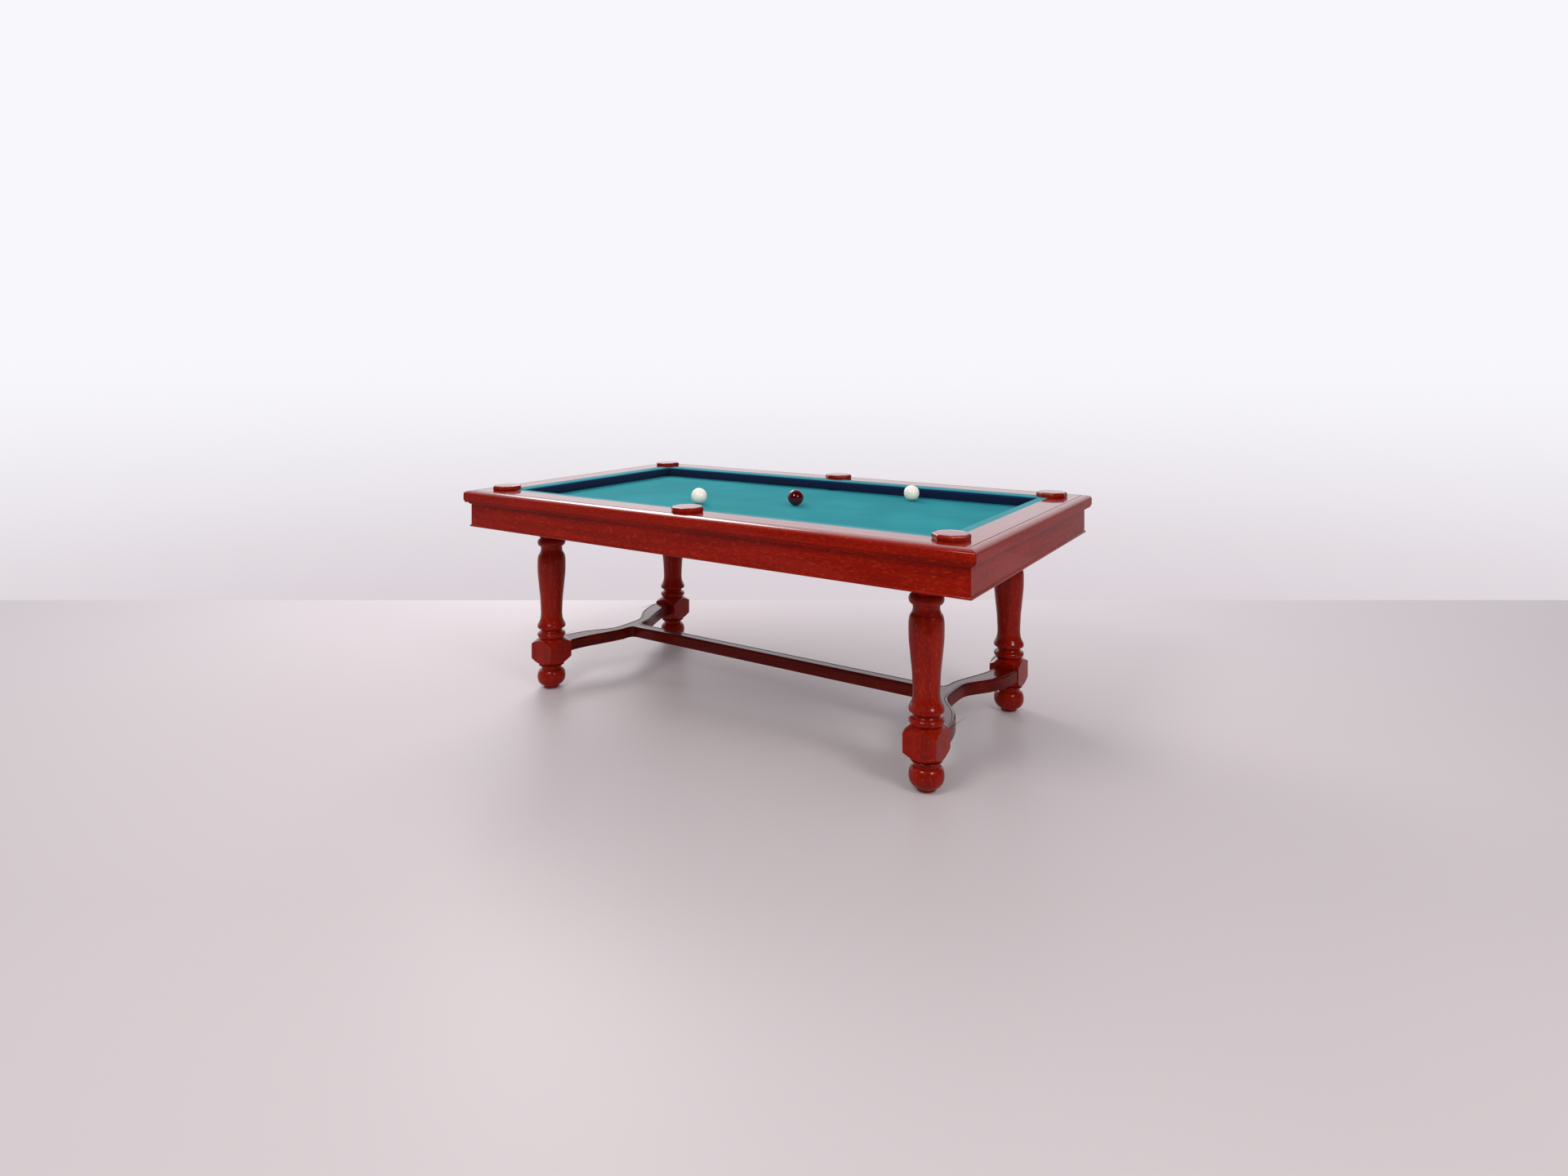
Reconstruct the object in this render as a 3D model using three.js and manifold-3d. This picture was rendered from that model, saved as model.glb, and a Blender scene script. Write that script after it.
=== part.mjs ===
// A carom billiard table with pockets that lift-out plugs close, in millimetres.
// The origin is on the floor under the centre of the bed. +X runs along the table, +Z up.
// "Front" is the -Y side and "right" the +X end.
import * as THREE from 'three';
import { mergeVertices } from 'three/addons/utils/BufferGeometryUtils.js';
import Module from 'manifold-3d';

const wasm = await Module();
wasm.setup();

// Driving dimensions
const playLength = 1800; // bed between the cushion noses
const playWidth = 900;
const tableHeight = 800; // floor to the top of the rails
const railRise = 45; // rail top above the bed cloth
const fit = 0.3; // gap between pieces that touch or slide into each other
const overrun = 20; // how far a cutter runs past what it cuts

const cushion = {
  width: 45, // rail wood to nose
  noseDrop: 12, // nose below the rail top
  crownDrop: 1.5, // fall of the cloth before it turns over the nose
  crownWidth: 38, // flat part of the top
  noseHeight: 5, // thickness of the nose itself
  footWidth: 22, // foot of the section on the bed
  footRise: 5, // upright part above the foot
};

const rail = {
  width: 120, // wood only
  edgeRound: 13, // fall of the rounded moulding along the top outer edge
  edgeRoundWidth: 27,
  cornerRound: 5, // upright corners of the frame in plan
  lipHeight: 7, // rebated lip under the outer face
  lipInset: 4,
  grooveInset: 31, // outer edge to the middle of the groove
  grooveWidth: 4,
  grooveDepth: 2,
};

const apron = {
  inset: 23, // rail edge to apron face
  thickness: 22,
  height: 98,
  topBeadHeight: 8,
  topBeadProud: 7,
  footBeadHeight: 8,
  footBeadProud: 4,
};

const slate = { thickness: 22, edgeGap: 5 };
const cloth = { thickness: 1, edgeInset: 6 };

const pocket = {
  radius: 43, // hole in rails and slate
  cornerInset: 129, // hole centre from both outer edges
  middleInset: 110, // hole centre from the long outer edge
  cornerCut: 75, // cushions stop this far short of the nose corner
  middleCut: 50, // half the gap between the two cushions of a long side
  slateMargin: 2, // slate hole radius over the rail hole
};

const cup = { wall: 3, depth: 64, flange: 6, floor: 4 };

const plug = {
  clearance: 0.4, // all round the plug
  capAcross: 106, // across the flats of the octagon
  capThickness: 18,
  capCornerInset: 120, // cap centre from both outer edges
  capMiddleInset: 88,
};
const capSides = 8;
// Radius and height of the cap's rounded edge, from the foot up to the top
const capEdgeShares = [
  [0.965, 0],
  [0.99, 0.2],
  [1, 0.42],
  [0.99, 0.66],
  [0.955, 0.88],
  [0.9, 0.98],
  [0.84, 1],
];

const leg = {
  blank: 111, // square timber that the leg is worked from
  turned: 110, // widest turned diameter
  endInset: 248, // leg centre from the rail's outer edge at the table's end
  sideInset: 235, // and from the edge along its side
  discDiameter: 60,
  discHeight: 9,
  ballHeight: 65,
  ballNeckDiameter: 80,
  neckHeight: 14,
  ringHeight: 6,
  ringDiameter: 100,
  ringRise: 3,
  lowerBlock: 100, // height of the square lower block
  upperBlockDrop: 46, // upper block shown under the apron
  shoulder: 21, // height over which the block's corners are turned away
  blockNeckDiameter: 100,
};
const turningSides = 20;
const beadSteps = 4;
const vaseSteps = 22;
// The shaft between the two blocks: share of its height, share of the turned radius
const lowerBeadShares = { from: 0.0098, to: 0.0647, rim: 0.82 };
const collarShares = { from: 0.901, to: 0.977, rim: 0.793 };
const flareShares = [
  [0.0804, 0.74],
  [0.0961, 0.844],
  [0.1118, 1],
  [0.1294, 0.989],
  [0.151, 0.914],
];
const vaseShares = [
  [0.1755, 0.828],
  [0.2255, 0.764],
  [0.304, 0.776],
  [0.402, 0.814],
  [0.49, 0.883],
  [0.588, 0.959],
  [0.6766, 1],
  [0.7648, 0.999],
  [0.809, 0.945],
  [0.838, 0.82],
  [0.863, 0.766],
  [0.887, 0.766],
];

const beam = { width: 70, recess: 3 }; // recess: beams above the apron's lower edge
const bearer = { width: 60, legInset: 113 }; // legInset: leg centre to the outer bearers
// Places of the cross bearers, as shares of the outer one's distance from the middle
const innerBearerShare = 0.355;
const bearerPlaceShares = [-1, -innerBearerShare, innerBearerShare, 1];

const legBolt = {
  diameter: 12,
  grip: 60, // length in the leg
  headDiameter: 30,
  headHeight: 7,
  counterbore: 34,
  holeClearance: 1,
};

const footPad = { diameter: 50, height: 3 };

const stretcher = {
  rise: 30, // underside above the foot of the legs' lower blocks
  thickness: 45,
  edgeRound: 5,
  width: 50, // the long straight one
  tenonLength: 25,
  tenonWidth: 20,
  tenonHeight: 26,
};

const yoke = {
  sweep: 90, // how far the middle lies inward of the leg centres
  armWidth: 56, // twice the inner edge's distance from the curve, in the middle
  armEndWidth: 64, // and at the legs
  neckReach: 40, // middle of the curve to the joint with the long stretcher
  neckWidth: 54,
  filletReach: 38,
};
const yokeSteps = 16;
// The outer edge: share of the arm's reach, share of the sweep outward of the middle
const yokeOuterShares = [
  [0, 0.33],
  [0.2, 0.36],
  [0.31, 0.52],
  [0.42, 0.81],
  [0.55, 1.13],
  [0.7, 1.36],
  [0.85, 1.5],
  [1, 1.58],
];

const ball = { diameter: 61.5 };
const ballSides = 16;
const ballRings = 10;
// Places of the balls on the bed, as shares of half its length and half its width
const ballPlaceShares = {
  ball_white_left: [-0.273, -0.329],
  ball_red: [0.104, 0.049],
  ball_white_right: [0.466, 0.836],
};

// Heights and half sizes that follow
const bedHeight = tableHeight - railRise;
const halfLength = playLength / 2 + cushion.width + rail.width;
const halfWidth = playWidth / 2 + cushion.width + rail.width;
const apronBottom = bedHeight - apron.height;
const slateTop = bedHeight - cloth.thickness;
const slateBottom = slateTop - slate.thickness;
const frameTop = slateBottom - fit;
const frameBottom = apronBottom + beam.recess;
const frameHeight = frameTop - frameBottom;
const legTop = frameBottom - fit;
const ballFootBottom = footPad.height + leg.discHeight;
const ballFootTop = ballFootBottom + leg.ballHeight;
const ringBottom = ballFootTop + leg.neckHeight;
const ringTop = ringBottom + leg.ringHeight;
const lowerBlockBottom = ringTop + leg.ringRise;
const lowerBlockTop = lowerBlockBottom + leg.lowerBlock;
const upperBlockBottom = apronBottom - leg.upperBlockDrop;
const stretcherBottom = lowerBlockBottom + stretcher.rise;
const legX = halfLength - leg.endInset;
const legY = halfWidth - leg.sideInset;
const bearerX = legX - bearer.legInset;
const apronHalfX = halfLength - apron.inset;
const apronHalfY = halfWidth - apron.inset;
const insideHalfX = apronHalfX - apron.thickness;
const insideHalfY = apronHalfY - apron.thickness;

const paint = (color, roughness, metalness = 0) =>
  new THREE.MeshStandardMaterial({ color, roughness, metalness });
const finish = {
  polishedWood: () => paint(0x7a2410, 0.25),
  turnedWood: () => paint(0x6e1d0c, 0.22),
  frameWood: () => paint(0x8a5a36, 0.7),
  cloth: () => paint(0x3f9a9c, 0.95),
  slate: () => paint(0x4a4f55, 0.8),
  leather: () => paint(0x2c1a12, 0.6),
  steel: () => paint(0x9a9ca0, 0.35, 0.9),
  felt: () => paint(0x3a3330, 0.95),
  whiteBall: () => paint(0xf1ead8, 0.08),
  redBall: () => paint(0x6d0712, 0.08),
};

const table = new THREE.Group();

function add(name, geometry, material, x = 0, y = 0, z = 0, turn = 0) {
  geometry.computeVertexNormals();
  const mesh = new THREE.Mesh(geometry, material);
  mesh.name = name;
  mesh.position.set(x, y, z);
  mesh.rotation.z = turn;
  table.add(mesh);
  return mesh;
}

// A closed geometry as a solid for cutting and joining
function solidOf(geometry) {
  const bare = geometry.index ? geometry.toNonIndexed() : geometry.clone();
  bare.deleteAttribute('normal');
  bare.deleteAttribute('uv');
  const welded = mergeVertices(bare);
  const corners = welded.index.array;
  const kept = [];
  for (let i = 0; i < corners.length; i += 3) {
    const [a, b, c] = [corners[i], corners[i + 1], corners[i + 2]];
    if (a !== b && b !== c && c !== a) kept.push(a, b, c);
  }
  return new wasm.Manifold(
    new wasm.Mesh({
      numProp: 3,
      vertProperties: welded.attributes.position.array,
      triVerts: new Uint32Array(kept),
    }),
  );
}

function geometryOf(solid) {
  const { vertProperties, triVerts } = solid.getMesh();
  return new THREE.BufferGeometry()
    .setAttribute('position', new THREE.BufferAttribute(vertProperties, 3))
    .setIndex(new THREE.BufferAttribute(triVerts, 1));
}

// A box given by its lowest and highest corners
function block([x0, y0, z0], [x1, y1, z1]) {
  return new THREE.BoxGeometry(x1 - x0, y1 - y0, z1 - z0)
    .translate((x0 + x1) / 2, (y0 + y1) / 2, (z0 + z1) / 2);
}

// An upright round bar or hole
function upright(radius, x, y, z0, z1) {
  return new THREE.CylinderGeometry(radius, radius, z1 - z0, turningSides)
    .rotateX(Math.PI / 2)
    .translate(x, y, (z0 + z1) / 2);
}

// A turned shape from its outline of [radius, height] points
function turnedShape(outline, sides = turningSides) {
  const points = outline.map(([r, z]) => new THREE.Vector2(r, z));
  return new THREE.LatheGeometry(points, sides).rotateX(Math.PI / 2);
}

// A straight moulding along +X, centred on x = 0, from its section of [y, z] points
function moulding(section, length) {
  const shape = new THREE.Shape(section.map(([y, z]) => new THREE.Vector2(y, z)));
  return new THREE.ExtrudeGeometry(shape, { depth: length, bevelEnabled: false })
    .rotateX(Math.PI / 2)
    .rotateZ(Math.PI / 2)
    .translate(-length / 2, 0, 0);
}

// Points of a rounded stretch between two angles
function arc(cx, cy, radius, from, to, steps) {
  return Array.from({ length: steps + 1 }, (_, i) => {
    const a = from + ((to - from) * i) / steps;
    return [cx + radius * Math.cos(a), cy + radius * Math.sin(a)];
  });
}

// The four sides of a mitred frame. Each is the same moulding, whose section has y = 0 at the
// outer face and runs inward, cut at 45 degrees with half a fit on each side of the mitre.
const sides = [
  { name: 'front', turn: 0, out: (x, y) => y, along: (x, y) => x },
  { name: 'right', turn: Math.PI / 2, out: (x) => x, along: (x, y) => y },
  { name: 'back', turn: Math.PI, out: (x, y) => y, along: (x, y) => x },
  { name: 'left', turn: -Math.PI / 2, out: (x) => x, along: (x, y) => y },
];

function mitredSide(section, side, halfX, halfY) {
  const out = side.out(halfX, halfY);
  const along = side.along(halfX, halfY);
  const width = Math.max(...section.map(([y]) => y)) + overrun;
  const gap = fit * Math.SQRT1_2;
  const outer = along + overrun - gap;
  const inner = along - width - gap;
  const bar = moulding(section, 2 * (along + overrun)).translate(0, -out, 0);
  const trapezium = new THREE.Shape([
    new THREE.Vector2(-outer, -out - overrun),
    new THREE.Vector2(outer, -out - overrun),
    new THREE.Vector2(inner, -out + width),
    new THREE.Vector2(-inner, -out + width),
  ]);
  const keep = new THREE.ExtrudeGeometry(trapezium, {
    depth: tableHeight + overrun,
    bevelEnabled: false,
  });
  return solidOf(bar).intersect(solidOf(keep)).rotate([0, 0, THREE.MathUtils.radToDeg(side.turn)]);
}

// Pocket places: hole and cap centres
const pocketHoleX = halfLength - pocket.cornerInset;
const pocketHoleY = halfWidth - pocket.cornerInset;
const capX = halfLength - plug.capCornerInset;
const capY = halfWidth - plug.capCornerInset;
const middleHoleY = halfWidth - pocket.middleInset;
const middleCapY = halfWidth - plug.capMiddleInset;
const pockets = [
  { name: 'front_left', sx: -1, sy: -1 },
  { name: 'front_middle', sx: 0, sy: -1 },
  { name: 'front_right', sx: 1, sy: -1 },
  { name: 'back_left', sx: -1, sy: 1 },
  { name: 'back_middle', sx: 0, sy: 1 },
  { name: 'back_right', sx: 1, sy: 1 },
].map((p) => ({
  ...p,
  holeX: p.sx * pocketHoleX,
  holeY: p.sy * (p.sx ? pocketHoleY : middleHoleY),
  capX: p.sx * capX,
  capY: p.sy * (p.sx ? capY : middleCapY),
}));

function pocketCutters(radius, z0, z1) {
  return pockets.map((p) => solidOf(upright(radius, p.holeX, p.holeY, z0, z1)));
}

// Rails: polished boards with a thumb moulding outside a groove, and a rebated lip
function railSection() {
  const top = tableHeight;
  const bottom = bedHeight + fit;
  const { width, edgeRound, edgeRoundWidth, lipHeight, lipInset } = rail;
  const { grooveInset, grooveWidth, grooveDepth } = rail;
  const thumb = arc(0, 0, 1, Math.PI / 2, Math.PI, beadSteps).map(([u, v]) => [
    edgeRoundWidth * (1 + u),
    top - edgeRound * (1 - v),
  ]);
  return [
    [lipInset, bottom],
    [width, bottom],
    [width, top],
    [grooveInset + grooveWidth / 2, top],
    [grooveInset, top - grooveDepth],
    [grooveInset - grooveWidth / 2, top],
    ...thumb,
    [0, bottom + lipHeight],
    [lipInset, bottom + lipHeight],
  ];
}

function roundedPlan(halfX, halfY, radius, z0, z1) {
  const corner = (sx, sy, from) =>
    arc(sx * (halfX - radius), sy * (halfY - radius), radius, from, from + Math.PI / 2, beadSteps);
  const outline = [
    ...corner(1, 1, 0),
    ...corner(-1, 1, Math.PI / 2),
    ...corner(-1, -1, Math.PI),
    ...corner(1, -1, -Math.PI / 2),
  ];
  const shape = new THREE.Shape(outline.map(([x, y]) => new THREE.Vector2(x, y)));
  return new THREE.ExtrudeGeometry(shape, { depth: z1 - z0, bevelEnabled: false })
    .translate(0, 0, z0);
}

function makeRails() {
  const plan = solidOf(
    roundedPlan(halfLength, halfWidth, rail.cornerRound, bedHeight - overrun, tableHeight + overrun),
  );
  const holes = pocketCutters(pocket.radius, bedHeight - overrun, tableHeight + overrun);
  for (const side of sides) {
    let solid = mitredSide(railSection(), side, halfLength, halfWidth).intersect(plan);
    for (const hole of holes) solid = solid.subtract(hole);
    add('rail_' + side.name, geometryOf(solid), finish.polishedWood());
  }
}

// Apron boards with a bead under the rails and one along the lower edge
function apronSection() {
  const { thickness, height, topBeadHeight, topBeadProud, footBeadHeight, footBeadProud } = apron;
  const top = apronBottom + height;
  const bead = (low, high, proud) =>
    Array.from({ length: beadSteps + 1 }, (_, i) => {
      const a = (Math.PI * i) / beadSteps;
      return [-proud * Math.sin(a), (low + high) / 2 + ((high - low) / 2) * Math.cos(a)];
    });
  return [
    [thickness, apronBottom],
    [thickness, top],
    ...bead(top - topBeadHeight, top, topBeadProud),
    ...bead(apronBottom, apronBottom + footBeadHeight, footBeadProud),
  ];
}

function makeAprons() {
  for (const side of sides) {
    const solid = mitredSide(apronSection(), side, apronHalfX, apronHalfY);
    add('apron_' + side.name, geometryOf(solid), finish.polishedWood());
  }
}

// The cutter for a pocket hole in slate and cloth, open towards the corner at a corner pocket
function bedHole(p, z0, z1) {
  const radius = pocket.radius + pocket.slateMargin;
  const hole = solidOf(upright(radius, 0, 0, z0, z1));
  const slot = solidOf(block([0, -radius, z0], [pocket.cornerInset * Math.SQRT2, radius, z1]));
  const shape = p.sx ? hole.add(slot) : hole;
  const turn = THREE.MathUtils.radToDeg(Math.atan2(p.sy, p.sx));
  return shape.rotate([0, 0, turn]).translate([p.holeX, p.holeY, 0]);
}

// A flat sheet from x0 to x1 with the pocket holes in it
function drilledSheet(x0, x1, halfY, z0, z1) {
  let solid = solidOf(block([x0, -halfY, z0], [x1, halfY, z1]));
  for (const p of pockets) solid = solid.subtract(bedHole(p, z0 - overrun, z1 + overrun));
  return geometryOf(solid);
}

// Three slates, butted over the inner bearers, and the cloth that covers them
function makeBed() {
  const slateX = insideHalfX - slate.edgeGap;
  const slateY = insideHalfY - slate.edgeGap;
  const joint = innerBearerShare * bearerX;
  const spans = {
    slate_left: [-slateX, -joint - fit / 2],
    slate_middle: [-joint + fit / 2, joint - fit / 2],
    slate_right: [joint + fit / 2, slateX],
  };
  for (const [name, [x0, x1]] of Object.entries(spans)) {
    add(name, drilledSheet(x0, x1, slateY, slateBottom, slateTop), finish.slate());
  }
  const clothX = slateX - cloth.edgeInset;
  const clothY = slateY - cloth.edgeInset;
  add('bed_cloth', drilledSheet(-clothX, clothX, clothY, slateTop, bedHeight), finish.cloth());
}

// Section of a cushion: y = 0 at the rail wood, the nose at y = width
function cushionSection() {
  const top = tableHeight - fit;
  const foot = bedHeight + fit;
  const nose = tableHeight - cushion.noseDrop;
  return [
    [0, foot],
    [cushion.footWidth, foot],
    [cushion.footWidth, foot + cushion.footRise],
    [cushion.width - cushion.noseHeight / 2, nose - cushion.noseHeight / 2],
    [cushion.width, nose],
    [cushion.width - cushion.noseHeight / 4, nose + cushion.noseHeight / 2],
    [cushion.crownWidth, top - cushion.crownDrop],
    [0, top],
  ];
}

// A length of cushion on one side, from a to b along that side
function cushionLength(side, a, b) {
  const wood = side.out(playLength, playWidth) / 2 + cushion.width - fit;
  return moulding(cushionSection(), b - a)
    .translate((a + b) / 2, -wood, 0)
    .rotateZ(side.turn);
}

const [front, right, back, left] = sides;

function makeCushions() {
  const longEnd = playLength / 2 - pocket.cornerCut;
  const shortEnd = playWidth / 2 - pocket.cornerCut;
  const pieces = {
    cushion_front_left: [front, -longEnd, -pocket.middleCut],
    cushion_front_right: [front, pocket.middleCut, longEnd],
    cushion_back_right: [back, -longEnd, -pocket.middleCut],
    cushion_back_left: [back, pocket.middleCut, longEnd],
    cushion_right: [right, -shortEnd, shortEnd],
    cushion_left: [left, -shortEnd, shortEnd],
  };
  for (const [name, [side, a, b]] of Object.entries(pieces)) {
    add(name, cushionLength(side, a, b), finish.cloth());
  }
}

// Plugs: an octagonal cap over a core that fills the pocket hole and carries the cushion piece
function capGeometry() {
  const outer = plug.capAcross / 2 / Math.cos(Math.PI / capSides);
  const edge = capEdgeShares.map(([r, z]) => [outer * r, plug.capThickness * z]);
  return turnedShape([[0, 0], ...edge, [0, plug.capThickness]], capSides)
    .rotateZ(Math.PI / capSides);
}

// The core stops at the cushion's foot, so that nothing shows under the nose
function plugCore(p) {
  const foot = bedHeight + plug.clearance;
  const top = tableHeight - fit;
  const bore = solidOf(upright(pocket.radius - plug.clearance, p.holeX, p.holeY, foot, top));
  const footLine = cushion.width - cushion.footWidth;
  const insideX = playLength / 2 + footLine;
  const insideY = playWidth / 2 + footLine;
  const reachX = p.sx ? insideX : halfLength;
  const openBed = solidOf(
    block([-reachX, -insideY, foot - overrun], [reachX, insideY, top + overrun]),
  );
  return bore.subtract(openBed);
}

// A cushion piece from near to far along a side, on the side of the plug
function plugArm(p, side, half) {
  const forward = side === front || side === right ? 1 : -1;
  const sign = forward * Math.sign(side.along(p.sx, p.sy));
  const near = half - pocket.cornerCut + plug.clearance;
  const far = half + cushion.width - fit;
  const ends = [sign * near, sign * far].sort((a, b) => a - b);
  return solidOf(cushionLength(side, ...ends));
}

function plugInsert(p) {
  const core = plugCore(p);
  const longSide = p.sy < 0 ? front : back;
  if (!p.sx) {
    const half = pocket.middleCut - plug.clearance;
    return core.add(solidOf(cushionLength(longSide, -half, half)));
  }
  const endSide = p.sx > 0 ? right : left;
  return core
    .add(plugArm(p, longSide, playLength / 2))
    .add(plugArm(p, endSide, playWidth / 2));
}

function makePlugs() {
  for (const p of pockets) {
    add('plug_cap_' + p.name, capGeometry(), finish.polishedWood(), p.capX, p.capY, tableHeight);
    add('plug_insert_' + p.name, geometryOf(plugInsert(p)), finish.cloth());
  }
}

// Pocket cups that hang from the slate
function makeCups() {
  const top = slateBottom - fit;
  const bottom = top - cup.depth;
  const outer = pocket.radius + cup.wall;
  const outline = [
    [0, bottom],
    [outer, bottom],
    [outer, top - cup.wall],
    [outer + cup.flange, top - cup.wall],
    [outer + cup.flange, top],
    [pocket.radius, top],
    [pocket.radius, bottom + cup.floor],
    [0, bottom + cup.floor],
  ];
  for (const p of pockets) {
    add('pocket_cup_' + p.name, turnedShape(outline), finish.leather(), p.holeX, p.holeY);
  }
}

// A turned bead between two heights, from its lower rim over its peak to its upper rim
function bulge(z0, z1, rim, peak, upperRim = rim) {
  return Array.from({ length: beadSteps + 1 }, (_, i) => {
    const a = (Math.PI * i) / beadSteps;
    const near = 2 * i < beadSteps ? rim : upperRim;
    return [near + (peak - near) * Math.sin(a), (z0 + z1) / 2 - ((z1 - z0) / 2) * Math.cos(a)];
  });
}

// Legs, turned from square blanks

function legOutline() {
  const turnedRadius = leg.turned / 2;
  const cornerRadius = (leg.blank / 2) * Math.SQRT2 + fit;
  const blockNeck = leg.blockNeckDiameter / 2;
  const foot = leg.discDiameter / 2;
  const neck = leg.ballNeckDiameter / 2;
  const shaft = upperBlockBottom - lowerBlockTop;
  const onShaft = ([h, r]) => [r * turnedRadius, lowerBlockTop + h * shaft];
  const shaftBead = ({ from, to, rim }) =>
    bulge(lowerBlockTop + from * shaft, lowerBlockTop + to * shaft, rim * turnedRadius, turnedRadius);
  const vase = new THREE.SplineCurve(vaseShares.map((p) => new THREE.Vector2(...onShaft(p))));
  const bore = (legBolt.diameter + legBolt.holeClearance) / 2;
  const boreFloor = legTop - legBolt.grip - legBolt.holeClearance;
  return [
    [0, footPad.height],
    [foot, footPad.height],
    ...bulge(ballFootBottom, ballFootTop, foot, turnedRadius, neck),
    ...bulge(ringBottom, ringTop, neck, leg.ringDiameter / 2),
    [blockNeck, lowerBlockBottom],
    [cornerRadius, lowerBlockBottom + leg.shoulder],
    [cornerRadius, lowerBlockTop - leg.shoulder],
    [blockNeck, lowerBlockTop],
    ...shaftBead(lowerBeadShares),
    ...flareShares.map(onShaft),
    ...vase.getPoints(vaseSteps).map(({ x, y }) => [x, y]),
    ...shaftBead(collarShares),
    [blockNeck, upperBlockBottom],
    [cornerRadius, upperBlockBottom + leg.shoulder],
    [cornerRadius, legTop],
    [bore, legTop],
    [bore, boreFloor],
    [0, boreFloor],
  ];
}

const stretcherMiddle = stretcherBottom + stretcher.thickness / 2;

function tenonBox(along0, along1, slack) {
  const halfWide = stretcher.tenonWidth / 2 + slack;
  const halfTall = stretcher.tenonHeight / 2 + slack;
  return [
    [-halfWide, along0, stretcherMiddle - halfTall],
    [halfWide, along1, stretcherMiddle + halfTall],
  ];
}

const corners = [
  { name: 'front_left', sx: -1, sy: -1 },
  { name: 'front_right', sx: 1, sy: -1 },
  { name: 'back_left', sx: -1, sy: 1 },
  { name: 'back_right', sx: 1, sy: 1 },
];

function makeLegs() {
  const half = leg.blank / 2;
  const blank = solidOf(block([-half, -half, 0], [half, half, tableHeight]));
  const mortise = solidOf(block(...tenonBox(half - stretcher.tenonLength - fit, half + overrun, fit)));
  const worked = solidOf(turnedShape(legOutline())).intersect(blank).subtract(mortise);
  for (const { name, sx, sy } of corners) {
    const turn = sy < 0 ? 0 : Math.PI;
    add('leg_' + name, geometryOf(worked), finish.turnedWood(), sx * legX, sy * legY, 0, turn);
    const pad = upright(footPad.diameter / 2, 0, 0, 0, footPad.height);
    add('foot_pad_' + name, pad, finish.felt(), sx * legX, sy * legY);
  }
}

// Bolts through the long beams into the legs, their heads sunk under the slate
function makeLegBolts() {
  const headTop = frameTop - fit;
  const headBottom = headTop - legBolt.headHeight;
  const shank = legBolt.diameter / 2;
  const outline = [
    [0, legTop - legBolt.grip],
    [shank, legTop - legBolt.grip],
    [shank, headBottom],
    [legBolt.headDiameter / 2, headBottom],
    [legBolt.headDiameter / 2, headTop],
    [0, headTop],
  ];
  for (const { name, sx, sy } of corners) {
    add('leg_bolt_' + name, turnedShape(outline, turningSides / 2), finish.steel(), sx * legX, sy * legY);
  }
}

// Long beams and cross bearers, half-lapped where they cross
function makeSubframe() {
  const lap = frameBottom + frameHeight / 2;
  const reachX = insideHalfX - fit;
  const reachY = insideHalfY - fit;
  const notch = (x, width, z0, z1) =>
    solidOf(block([x - width / 2, -halfWidth, z0], [x + width / 2, halfWidth, z1]));
  const headFloor = frameTop - fit - legBolt.headHeight;
  for (const [name, sy] of [['long_beam_front', -1], ['long_beam_back', 1]]) {
    const y = sy * legY;
    let solid = solidOf(
      block([-reachX, y - beam.width / 2, frameBottom], [reachX, y + beam.width / 2, frameTop]),
    );
    for (const share of bearerPlaceShares) {
      const cut = notch(share * bearerX, bearer.width + 2 * fit, lap, frameTop + overrun);
      solid = solid.subtract(cut);
    }
    for (const x of [-legX, legX]) {
      const hole = (legBolt.diameter + legBolt.holeClearance) / 2;
      const shaft = upright(hole, x, y, frameBottom - overrun, frameTop + overrun);
      const sink = upright(legBolt.counterbore / 2, x, y, headFloor, frameTop + overrun);
      solid = solid.subtract(solidOf(shaft)).subtract(solidOf(sink));
    }
    add(name, geometryOf(solid), finish.frameWood());
  }
  bearerPlaceShares.forEach((share, i) => {
    const x = share * bearerX;
    const half = bearer.width / 2;
    let solid = solidOf(block([x - half, -reachY, frameBottom], [x + half, reachY, frameTop]));
    for (const y of [-legY, legY]) {
      const cut = beam.width / 2 + fit;
      const gap = block(
        [x - bearer.width, y - cut, frameBottom - overrun],
        [x + bearer.width, y + cut, lap + fit],
      );
      solid = solid.subtract(solidOf(gap));
    }
    add('cross_bearer_' + (i + 1), geometryOf(solid), finish.frameWood());
  });
}

// Stretchers. A yoke is drawn in plan with y along the table's width and v outward from the middle
// of its curve towards the table's end, then laid flat.
const yokeReach = legY - leg.blank / 2 - fit;

function yokeCurve(y) {
  return (yoke.sweep * (1 - Math.cos((Math.PI * y) / yokeReach))) / 2;
}

function yokeInnerEdge(y) {
  const slope = ((yoke.sweep * Math.PI) / yokeReach / 2) * Math.sin((Math.PI * y) / yokeReach);
  const spread = Math.abs(y) / yokeReach;
  const half = (yoke.armWidth + (yoke.armEndWidth - yoke.armWidth) * spread * spread) / 2;
  const normal = new THREE.Vector2(slope, -1).normalize().multiplyScalar(half);
  return new THREE.Vector2(y + normal.x, yokeCurve(y) + normal.y);
}

// The outer edge, nearly as wide as the leg's block where it meets the legs
function yokeOuterEdge() {
  const point = (sign) => ([y, v]) => new THREE.Vector2(sign * y * yokeReach, v * yoke.sweep);
  const near = yokeOuterShares.slice(1).map(point(-1)).reverse();
  return new THREE.SplineCurve([...near, ...yokeOuterShares.map(point(1))]).getPoints(2 * yokeSteps);
}

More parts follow.
